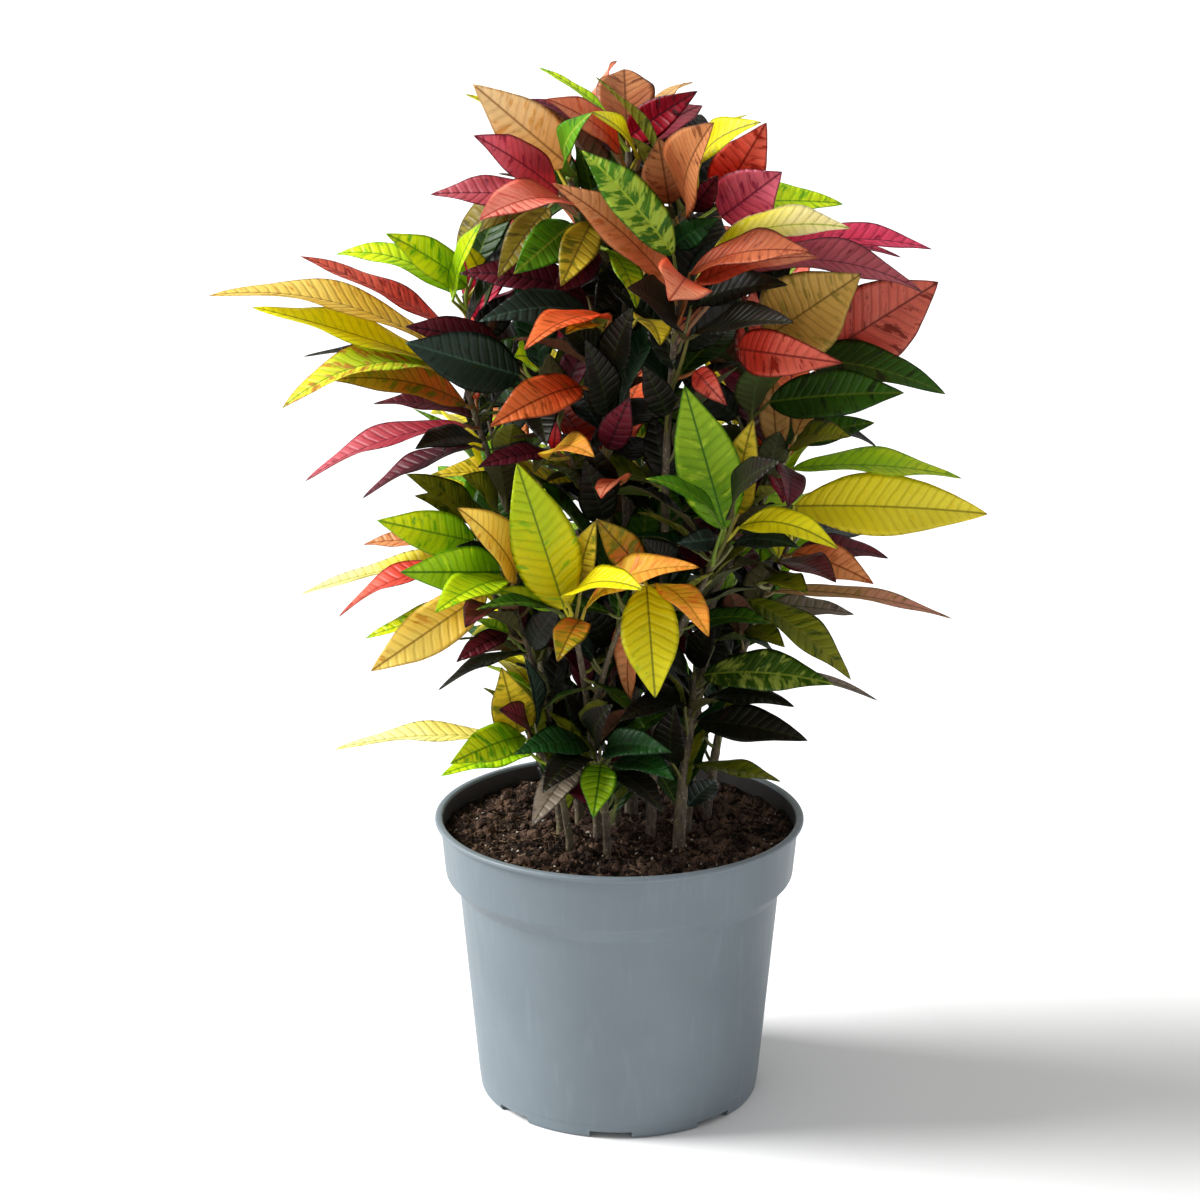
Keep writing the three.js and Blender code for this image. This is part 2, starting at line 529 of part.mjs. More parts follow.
function soilBody() {
  const flat = Math.cos(Math.PI / ROUND_STEPS);   // the wall stands nearer at the middle of a facet
  const inside = (radius) => (radius - WALL) * flat - GAP;
  const collarShare = (SOIL_LEVEL - COLLAR_FOOT_HEIGHT) / (LIP_BOTTOM - COLLAR_FOOT_HEIGHT);
  const edge = inside(mix(COLLAR_FOOT_RADIUS, COLLAR_TOP_RADIUS, collarShare));
  const topRings = [1, 0.76, 0.5, 0.24].map((share) => [edge * share, SOIL_LEVEL]);
  const profile = [
    [0, WALL + GAP],
    [MIDDLE_RADIUS - 2, WALL + GAP],
    [MIDDLE_RADIUS + WALL, FLOOR_LIFT + WALL + GAP],
    [inside(BASE_RADIUS), FLOOR_LIFT + WALL + GAP],
    [inside(BODY_TOP_RADIUS), BODY_TOP_HEIGHT + 1],
    [inside(COLLAR_FOOT_RADIUS), COLLAR_FOOT_HEIGHT + 1 + GAP],
    ...topRings,
    [0, SOIL_LEVEL],
  ];
  const geometry = lathe(profile, SOIL_STEPS);
  const place = geometry.attributes.position;
  for (let index = 0; index < place.count; index += 1) {
    if (place.getZ(index) > SOIL_LEVEL - 1) {
      place.setZ(index, SOIL_LEVEL + soilRelief(place.getX(index), place.getY(index)));
    }
  }
  let soil = solid(geometry);
  for (const stem of STEMS) {
    const radius = (stem.radius + GAP) / Math.cos(Math.PI / HOLE_SIDES);
    const depth = SOIL_LEVEL + 20 - (STEM_FOOT - GAP);
    const hole = new THREE.CylinderGeometry(radius, radius, depth, HOLE_SIDES);
    hole.rotateX(Math.PI / 2);
    hole.translate(stem.foot[0], stem.foot[1], STEM_FOOT - GAP + depth / 2);
    soil = soil.subtract(solid(hole));
  }
  return soil;
}

// ---------------------------------------------------------------- stems

const STEM_COLLAR = SOIL_LEVEL + 8;   // a stem is straight and upright below this
const STEM_SIDES = 5;
const WAY_STEPS = 40;                 // places along a branch where a leaf can root
const ROOT_SPACING = 3;               // between two leaves' roots
const STEM_RINGS = 6;
const BRANCH_RINGS = 3;
const TIP_SHARE = 0.5;                // radius at a branch's tip over that at its start
const BRANCH_SHARE = 0.72;            // radius of a side branch over that of its stem

function branchPath(stem, index) {
  const points = stem.branches[index].way.map(([x, z, depth]) => onSheet(x, z, depth));
  if (index === 0) {
    points.unshift(new THREE.Vector3(stem.foot[0], stem.foot[1], STEM_COLLAR));
  }
  return new THREE.CatmullRomCurve3(points, false, "catmullrom", 0.5);
}

function roundRing(centre, direction, radius) {
  const first = across(new THREE.Vector3(1, 0, 0), direction);
  const second = direction.clone().cross(first);
  return Array.from({ length: STEM_SIDES }, (_, side) => {
    const angle = (side / STEM_SIDES) * 2 * Math.PI;
    return centre.clone()
      .addScaledVector(first, radius * Math.cos(angle))
      .addScaledVector(second, radius * Math.sin(angle));
  });
}

function branchBody(stem, index) {
  const path = branchPath(stem, index);
  const steps = index === 0 ? STEM_RINGS : BRANCH_RINGS;
  const start = index === 0 ? stem.radius : stem.radius * BRANCH_SHARE;
  const rings = [];
  if (index === 0) {
    rings.push(roundRing(new THREE.Vector3(...stem.foot, STEM_FOOT), UP, stem.radius));
    rings.push(roundRing(path.getPoint(0), UP, stem.radius));
  }
  for (let step = index === 0 ? 1 : 0; step <= steps; step += 1) {
    const share = step / steps;
    const radius = start * mix(1, TIP_SHARE, share);
    rings.push(roundRing(path.getPoint(share), path.getTangent(share), radius));
  }
  return solid(skin(rings));
}

// ---------------------------------------------------------------- leaves

// Shares of a blade's length where its outline has a corner, on a broad, a slim and a hidden leaf.
const BROAD_STATIONS = [0, 0.18, 0.48, 0.8];
const SLIM_STATIONS = [0.1, 0.48, 0.8];
const HIDDEN_STATIONS = [0.28, 0.72];
const BROAD_FROM = 21;                // seen width from which a leaf counts as broad

function halfWidthShare(share) {
  return Math.pow(Math.sin(Math.PI * Math.pow(share, 0.9)), 0.8) * (1 - 0.16 * share);
}

// Small turns that a leaf tries, in this order, until it passes its neighbours.
// For a seen leaf: depth of its tip, lift of its tip, depth of the whole leaf.
const SEEN_TURNS = [
  [0, 0, 0], [-14, 0, 0], [14, 0, 0], [-28, 0, 0], [28, 0, 0], [0, 5, 0], [0, -5, 0],
  [-42, 0, 0], [42, 0, 0], [-20, 6, 0], [20, 6, 0], [-20, -6, 0], [20, -6, 0], [0, 0, -10],
  [0, 0, 10], [-20, 0, -10], [20, 0, 10], [-60, 0, 0], [60, 0, 0], [-20, 0, -20], [20, 0, 20],
  [-40, 9, -10], [40, 9, 10], [-40, -9, -10], [40, -9, 10], [-40, 0, -30], [40, 0, 30],
];
// For a leaf set by rule: turn about the upright, lift, both in degrees, and share of its length.
const RULE_TURNS = [
  [0, 0, 1], [12, 0, 1], [-12, 0, 1], [0, 12, 1], [0, -12, 1], [24, 8, 0.94], [-24, 8, 0.94],
  [24, -8, 0.94], [-24, -8, 0.94], [36, 0, 0.86], [-36, 0, 0.86], [0, 24, 0.86], [0, -24, 0.86],
  [44, 14, 0.8], [-44, 14, 0.8], [44, -14, 0.8], [-44, -14, 0.8],
];

// The branch's place from which a petiole best reaches a leaf's base, of those still free.
function rootOf(path, base, along, taken) {
  const behind = base.clone().addScaledVector(along, -14).addScaledVector(UP, -6);
  let best = null;
  for (let step = 1; step <= WAY_STEPS; step += 1) {
    const place = path.getPoint(step / WAY_STEPS);
    const free = taken.every((other) => other.distanceTo(place) > ROOT_SPACING);
    if (free && (!best || place.distanceTo(behind) < best.distanceTo(behind))) {
      best = place;
    }
  }
  return best;
}

function seenLeaf(row, path, taken, seed, turn) {
  const [, baseX, baseZ, baseDepth, tipX, tipZ, gained, seenWidth, arch] = row;
  const [tipShift, lift, shift] = turn;
  const base = onSheet(baseX, baseZ, baseDepth + shift);
  const tip = onSheet(tipX, tipZ + lift, baseDepth + gained + shift + tipShift);
  const along = tip.clone().sub(base);
  const length = along.length();
  along.normalize();
  const width = Math.max(seenWidth, Math.min(WIDTH_SHARE * length, seenWidth * 2.4));
  const facing = across(EYE.clone().sub(base), along);
  const side = along.clone().cross(facing);
  if (side.z < 0) {
    side.negate();
  }
  const share = Math.min(1, seenWidth / width);
  const normal = facing.multiplyScalar(share).addScaledVector(side, Math.sqrt(1 - share * share));
  const root = rootOf(path, base, along, taken);
  const stations = seenWidth < BROAD_FROM ? SLIM_STATIONS : BROAD_STATIONS;
  return { root, base, along, length, normal, width, arch, seed, stations };
}

function ruleLeaf(stem, index, order, path, seed, turn) {
  const [count, from] = stem.branches[index].whorl;
  const age = order / count;
  const share = 1 - age * (1 - from);
  const [swing, lift, scale] = turn;
  const heading = order * GOLDEN_TURN + draw(seed, 1) * 0.9 + radians(swing);
  const rise = radians(mix(58, -6, age) + mix(-10, 10, draw(seed, 2)) + lift);
  const length = mix(92, 128, draw(seed, 3)) * mix(0.82, 1, Math.min(1, age * 3)) * scale;
  const flat = new THREE.Vector3(Math.cos(heading), Math.sin(heading), 0);
  const along = flat.clone().multiplyScalar(Math.cos(rise)).addScaledVector(UP, Math.sin(rise));
  const root = path.getPoint(share);
  const base = root.clone().addScaledVector(along, 13).addScaledVector(UP, 4);
  const level = across(UP, along);
  const roll = mix(-0.35, 0.35, draw(seed, 4));
  const normal = level.addScaledVector(along.clone().cross(level), roll).normalize();
  const width = length * mix(0.34, 0.41, draw(seed, 5));
  const arch = mix(0.05, 0.15, draw(seed, 6));
  return { root, base, along, length, normal, width, arch, seed, stations: HIDDEN_STATIONS };
}

// Whether a leaf set by rule stays inside the bush as the viewer sees it, and behind its front.
function staysInside(leaf) {
  return [0.55, 1].every((share) => {
    const place = leaf.base.clone().addScaledVector(leaf.along, leaf.length * share);
    const seen = seenAt(place);
    const halfWidth = bushHalfWidth(seen.z);
    const inHeight = seen.z > BUSH_HEIGHTS[0] + 36 && seen.z < BUSH_HEIGHTS.at(-1) - 6;
    return inHeight && Math.abs(seen.x - 4) < halfWidth && place.y > FRONT_LIMIT;
  });
}

// The blade's mid line, from its base to its tip.
function midLine(leaf, share) {
  return leaf.base.clone()
    .addScaledVector(leaf.along, leaf.length * share)
    .addScaledVector(leaf.normal, leaf.length * leaf.arch * 4 * share * (1 - share));
}

// Four corners round a place of the blade: left edge, upper side, right edge, under side.
function bladeRing(leaf, share, direction, half, thickness) {
  const left = across(leaf.normal.clone().cross(leaf.along).addScaledVector(leaf.normal, 0.05), direction);
  const over = direction.clone().cross(left);
  const centre = share < 0 ? leaf.root : midLine(leaf, share);
  const rise = half * FOLD;
  const phase = draw(leaf.seed, 7) * 6.28;
  const wave = share <= 0 ? 0 : Math.min(1.8, half * 0.12);
  const leftWave = wave * Math.sin(share * 11 + phase);
  const rightWave = wave * Math.sin(share * 11 + phase + 2.2);
  const edgeRise = share < 0 ? 0 : rise;
  return [
    centre.clone().addScaledVector(left, half).addScaledVector(over, edgeRise + leftWave),
    centre.clone().addScaledVector(over, thickness / 2),
    centre.clone().addScaledVector(left, -half).addScaledVector(over, edgeRise + rightWave),
    centre.clone().addScaledVector(over, -thickness / 2),
  ];
}

// A leaf's solid. `room` swells it, and `bare` leaves off its petiole and the base of its blade.
function leafBody(leaf, room = 0, bare = false) {
  const petiole = leaf.base.clone().sub(leaf.root).normalize();
  const turnIn = petiole.clone().add(leaf.along).normalize();
  const rings = [];
  if (!bare) {
    rings.push(bladeRing(leaf, -1, petiole, ROOT_RADIUS + room, ROOT_RADIUS * 2 + room));
  }
  for (const share of leaf.stations) {
    if (share > 0) {
      const half = leaf.width * 0.5 * halfWidthShare(share) + room;
      rings.push(bladeRing(leaf, share, leaf.along, half, BLADE_THICKNESS + room * 2));
    } else if (!bare) {
      rings.push(bladeRing(leaf, 0, turnIn, PETIOLE_RADIUS + room, PETIOLE_RADIUS * 2 + room));
    }
  }
  return solid(skin(rings, midLine(leaf, 1).addScaledVector(leaf.along, room)));
}

// ---------------------------------------------------------------- the whole plant

function boxesTouch(a, b) {
  return [0, 1, 2].every((axis) => a.min[axis] < b.max[axis] && b.min[axis] < a.max[axis]);
}

const meets = (body, other) => (
  boxesTouch(body.boundingBox(), other.boundingBox()) && !body.intersect(other).isEmpty()
);

const growth = STEMS.map((stem) => ({
  stem,
  paths: stem.branches.map((_, index) => branchPath(stem, index)),
  wood: stem.branches.map((_, index) => branchBody(stem, index)),
  roots: [],
  leaves: [],
  blades: [],
  whole: wasm.Manifold.union(stem.branches.map((_, index) => branchBody(stem, index))),
}));

const pot = potBody();
const soil = soilBody();

// Adds the first of a leaf's turns that keeps clear of the other stems and, where `strict`, of the
// whole leaves of its own stem, which it joins with few faces; otherwise its petiole may pass
// through theirs.
function place(own, leafAt, turns, strict) {
  const rest = growth.filter((plant) => plant !== own);
  const others = rest.flatMap((plant) => [...plant.wood, ...plant.leaves]);
  for (const turn of turns) {
    const leaf = leafAt(turn);
    if (!leaf || !leaf.root) {
      continue;
    }
    const roomy = leafBody(leaf, CLEARANCE);
    const blade = leafBody(leaf, CLEARANCE, true);
    const apart = ![pot, soil, ...others].some((other) => meets(roomy, other))
      && ![...own.wood, ...(strict ? own.leaves : own.blades)].some((other) => meets(blade, other))
      && !(strict && own.blades.some((other) => meets(roomy, other)));
    if (!apart) {
      continue;
    }
    const body = leafBody(leaf);
    const whole = own.whole.add(body);
    if (strict && whole.numTri() - own.whole.numTri() - body.numTri() > JOIN_FACES) {
      continue;
    }
    own.whole = whole;
    own.roots.push(leaf.root);
    own.leaves.push(body);
    own.blades.push(leafBody(leaf, 0, true));
    return true;
  }
  return false;
}

growth.forEach((own, number) => {
  own.stem.leaves.forEach((row, order) => {
    const seed = number * 100 + order;
    const leafAt = (turn) => seenLeaf(row, own.paths[row[0]], own.roots, seed, turn);
    if (!place(own, leafAt, SEEN_TURNS, true)) {
      place(own, leafAt, SEEN_TURNS, false);
    }
  });
});

growth.forEach((own, number) => {
  own.stem.branches.forEach((branch, index) => {
    for (let order = 0; order < branch.whorl[0]; order += 1) {
      const seed = 5000 + number * 100 + index * 40 + order;
      const leafAt = (turn) => {
        const leaf = ruleLeaf(own.stem, index, order, own.paths[index], seed, turn);
        return staysInside(leaf) ? leaf : null;
      };
      place(own, leafAt, RULE_TURNS, true);
    }
  });
});

// ---------------------------------------------------------------- scene graph

const plastic = new THREE.MeshStandardMaterial({ color: 0x8a949d, roughness: 0.55, metalness: 0 });
const peat = new THREE.MeshStandardMaterial({ color: 0x3a2a20, roughness: 1, metalness: 0 });
const leafColours = [0x4f7a1c, 0xc8c020, 0x2c4a18, 0x96a020, 0x9aa428, 0x36251c, 0xa84838,
  0x8a3a28, 0x7a8a1c, 0x2f5a18, 0xb04a3a, 0x4a6a1c, 0x6a7a20, 0x6a3a24];

const plant = new THREE.Group();

function addPiece(name, body, material) {
  const mesh = new THREE.Mesh(geometryOf(body), material);
  mesh.name = name;
  plant.add(mesh);
}

addPiece("pot", pot, plastic);
addPiece("soil", soil, peat);
growth.forEach(({ stem, whole }, number) => {
  const color = leafColours[number];
  const foliage = new THREE.MeshStandardMaterial({ color, roughness: 0.4, metalness: 0 });
  addPiece(stem.name, largestBody(whole), foliage);
});

export default plant;
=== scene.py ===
"""A croton in its nursery pot: the look of each piece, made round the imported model.

Lengths are worked out in millimetres, as the part's own rules are, and turned to metres
where a mesh is made. The viewer stands on the -Y side, +Z is up.
"""

import math
from types import SimpleNamespace

import bpy
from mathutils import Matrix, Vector, bvhtree, kdtree, noise


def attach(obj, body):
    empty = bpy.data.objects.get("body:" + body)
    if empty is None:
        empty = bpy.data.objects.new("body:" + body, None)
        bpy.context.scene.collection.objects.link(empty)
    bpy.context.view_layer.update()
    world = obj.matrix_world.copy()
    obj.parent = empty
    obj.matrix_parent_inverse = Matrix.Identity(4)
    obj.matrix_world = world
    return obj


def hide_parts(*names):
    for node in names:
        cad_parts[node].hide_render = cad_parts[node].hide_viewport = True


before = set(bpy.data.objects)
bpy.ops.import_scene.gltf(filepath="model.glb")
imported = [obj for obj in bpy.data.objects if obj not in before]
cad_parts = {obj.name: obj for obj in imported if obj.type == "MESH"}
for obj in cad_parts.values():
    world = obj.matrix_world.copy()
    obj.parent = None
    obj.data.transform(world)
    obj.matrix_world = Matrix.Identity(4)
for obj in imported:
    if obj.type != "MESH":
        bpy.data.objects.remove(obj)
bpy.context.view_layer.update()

MM = 0.001
UP = Vector((0, 0, 1))

# ------------------------------------------------------------------ the camera's place

EYE = Vector((-12.6, -1757.9, 820.0))      # mm
CAMERA_PITCH = 0.271                       # radians below the level
CAMERA_LENS = 85.77                        # mm, on a square 36 mm frame

# ------------------------------------------------------------------ sizes of the part, mm

POT_HEIGHT = 188
RIM_RADIUS = 120.2
COLLAR_TOP_RADIUS = 116.5
COLLAR_FOOT_RADIUS = 113.3
COLLAR_FOOT_HEIGHT = 150.2
BODY_TOP_RADIUS = 104.5
BODY_TOP_HEIGHT = 140
BASE_RADIUS = 92
WALL = 1.9
LIP_DEPTH = 3.4
FOOT_RING_WIDTH = 11
FLOOR_LIFT = 5
MIDDLE_RADIUS = 31
FOOT_NOTCHES = 8
FIRST_NOTCH = -3.7                         # degrees from the front, seen from above
NOTCH_WIDTH = 27
NOTCH_HEIGHT = 4.6
DRAIN_HOLES = 8
DRAIN_RADIUS = 5
DRAIN_CIRCLE = 66
SOIL_LEVEL = 176
GAP = 0.35
STEM_FOOT = 112
STEM_COLLAR = SOIL_LEVEL + 8
TIP_SHARE = 0.5                            # a branch's radius at its tip, by that at its start
BRANCH_SHARE = 0.72                        # a side branch's radius, by its stem's
WAY_STEPS = 40                             # places on a branch where a leaf may root
WOOD_STEPS = 70
STALK_STEPS = 6
ROOT_SPACING = 3
CLEARANCE = 0.5                            # round a blade, where blades are tested for overlap
WIDTH_SHARE = 0.37                         # the least width of a blade, by its length
FORESHORTENED = 2.4                        # the most that a blade is wider than it is seen
BROAD_FROM = 21                            # seen width from which a blade's first corners sit farther up
FOLD = 0.24                                # rise of a blade's edge, by half its width
RIPPLE = 1.8                               # the most that an edge ripples
RIPPLE_RATE = 11                           # radians of ripple over a blade's length
RIPPLE_LAG = 2.2                           # of the right edge behind the left one
VEIN_SPACING = 6.4
POT_STEPS, SOIL_STEPS, SOIL_RINGS = 180, 200, 44
POT_EDGE = 1.6                             # rounding of the pot's edges
POT_SHARP_FROM = 38                        # degrees between faces that stay a sharp edge
GOLDEN_TURN = 2.399963
DRAWN_TURN = 6.28                          # a whole turn, times a draw
CORNER_WITHIN = 0.12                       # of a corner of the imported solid
CORNERS_NEEDED = 0.59                      # share of a leaf's corners that have to be found there

# ------------------------------------------------------------------ colours of the leaves

# Each kind of leaf: its colour near the stalk and towards the tip, its veins, its mottling and
# its margin, then how much of it is mottled and how strongly the veins are drawn.
LEAF_KINDS = {
    "green_mottled": ("2f6a0c", "4c8c10", "b4d038", "b8d448", "2c5c08", 0.38, 0.35),
    "orange_tan": ("f0905c", "f8b478", "a04c20", "d87c40", "b8602c", 0.28, 0.35),
    "coral": ("f47048", "fcb088", "b84428", "e06840", "b03c28", 0.28, 0.35),
    "cream_yellow": ("f8f018", "fcf0b0", "a4b428", "f4ec70", "fcf0c8", 0.20, 0.26),
    "crimson": ("d01c44", "d8486a", "6c102c", "98183c", "5c1028", 0.28, 0.35),
    "rose": ("c43c50", "d86874", "741c30", "943044", "64202c", 0.26, 0.30),
    "red": ("e44430", "f47860", "8c1c14", "b02c1c", "701810", 0.30, 0.40),
    "green_bright": ("80b810", "b0d820", "2c7010", "c8e830", "4c9810", 0.30, 0.42),
    "olive_gold": ("c4ac20", "e8d034", "7c6c18", "8c8c18", "7c6c18", 0.32, 0.35),
    "yellow_green": ("a0cc14", "e4ec18", "64981a", "74b414", "94c014", 0.30, 0.38),
    # Near black: a leaf's own dark colour, and painted shade on the leaves deep in the bush.
    "dark": ("141c0c", "201a14", "2c3418", "281214", "0c0c0a", 0.26, 0.15),
    "green": ("4c8c10", "64a818", "a4c040", "347010", "307010", 0.28, 0.35),
    "slate": ("18261e", "26382e", "3c5848", "141e14", "0e1610", 0.26, 0.20),
    "yellow_lime": ("fcf008", "d4e810", "6c8c14", "a8d814", "c0d410", 0.26, 0.32),
    "yellow": ("fcf010", "fcf420", "848418", "d4e018", "dcdc10", 0.24, 0.32),
    "orange": ("f05420", "f88444", "8c3410", "b8541c", "84300c", 0.30, 0.35),
    "yellow_orange": ("fcd838", "fcb04c", "b88420", "f09838", "d89828", 0.30, 0.35),
    "green_dark": ("244c0c", "3c7010", "6c8828", "1c340c", "1a300c", 0.30, 0.30),
    "green_glossy": ("163a18", "20541e", "2c5c28", "123010", "0e280e", 0.24, 0.20),
    "grey": ("8c8070", "a49484", "605848", "6c5c50", "504440", 0.28, 0.25),
    "pale_yellow": ("fcec80", "fcf4b8", "bcb848", "e0d860", "f0e080", 0.26, 0.35),
    "lime": ("bce810", "e4f41c", "6ca814", "8cc814", "98c814", 0.30, 0.36),
    "maroon": ("5c1424", "7c2434", "300a16", "400e1a", "260a12", 0.26, 0.25),
    "golden": ("f8d048", "fce478", "a07824", "e0a838", "d0a440", 0.26, 0.30),
    "tan": ("e8b868", "f4cc88", "986830", "d89850", "b07c3c", 0.28, 0.40),
    "olive": ("6c780c", "94981c", "8c8c2c", "485c0c", "3c480c", 0.30, 0.30),
    "brown": ("b8683c", "d08c58", "74401c", "8c4c28", "6c3418", 0.28, 0.40),
    "orange_olive": ("e07c30", "c4a424", "70500f", "8c8c1c", "6c5c18", 0.34, 0.35),
    "salmon": ("f47c68", "f8a08c", "b44438", "e05c50", "a83c34", 0.28, 0.35),
    "olive_brown": ("8c7820", "a49428", "5c4c14", "685c14", "544410", 0.30, 0.30),
    "tan_pink": ("c8a070", "d89c88", "84683c", "a48448", "947048", 0.28, 0.25),
    "lime_edged": ("c8e030", "e8e440", "709c20", "c88c38", "d0843c", 0.34, 0.35),
    "mottled_dark": ("2c500c", "3c640c", "a0b440", "a8b850", "24400c", 0.34, 0.35),
    "tan_light": ("f4cc8c", "f8dca8", "a87840", "e4b468", "c89854", 0.28, 0.35),
    "tan_olive": ("c09848", "d0ac58", "785c24", "a08838", "80702c", 0.30, 0.40),
    "red_brown": ("c44c40", "d4705c", "641c14", "8c3426", "5c1a14", 0.30, 0.40),
    "crimson_dark": ("b80c28", "b41430", "48081a", "300810", "3c0812", 0.28, 0.35),
    "rose_bright": ("dc4c64", "e8748a", "801c38", "ac3050", "741c34", 0.28, 0.32),
    "rose_dark": ("a03848", "b45860", "581826", "7c2838", "501a24", 0.26, 0.30),
    "rust": ("c45c38", "d87c50", "84301c", "a0442a", "7c2c1c", 0.28, 0.35),
    "yellow_deep": ("fcec30", "fcf050", "a09020", "f8e42c", "f4dc28", 0.24, 0.30),
}
# Kinds that grow out of sight of the viewer: within the bush, dark ones whose darkness is painted shade,
# and round its outside, low to high.
SHADED_INNER_KINDS = ("dark", "green_dark", "slate", "maroon", "green_glossy", "dark", "olive", "green_dark")
LOW_KINDS = ("green", "lime", "yellow_green", "olive_gold", "yellow", "green_dark", "green_bright")
HIGH_KINDS = ("red", "orange_tan", "green_mottled", "crimson", "yellow", "orange", "maroon", "tan")

# ------------------------------------------------------------------ how the stems and leaves stand

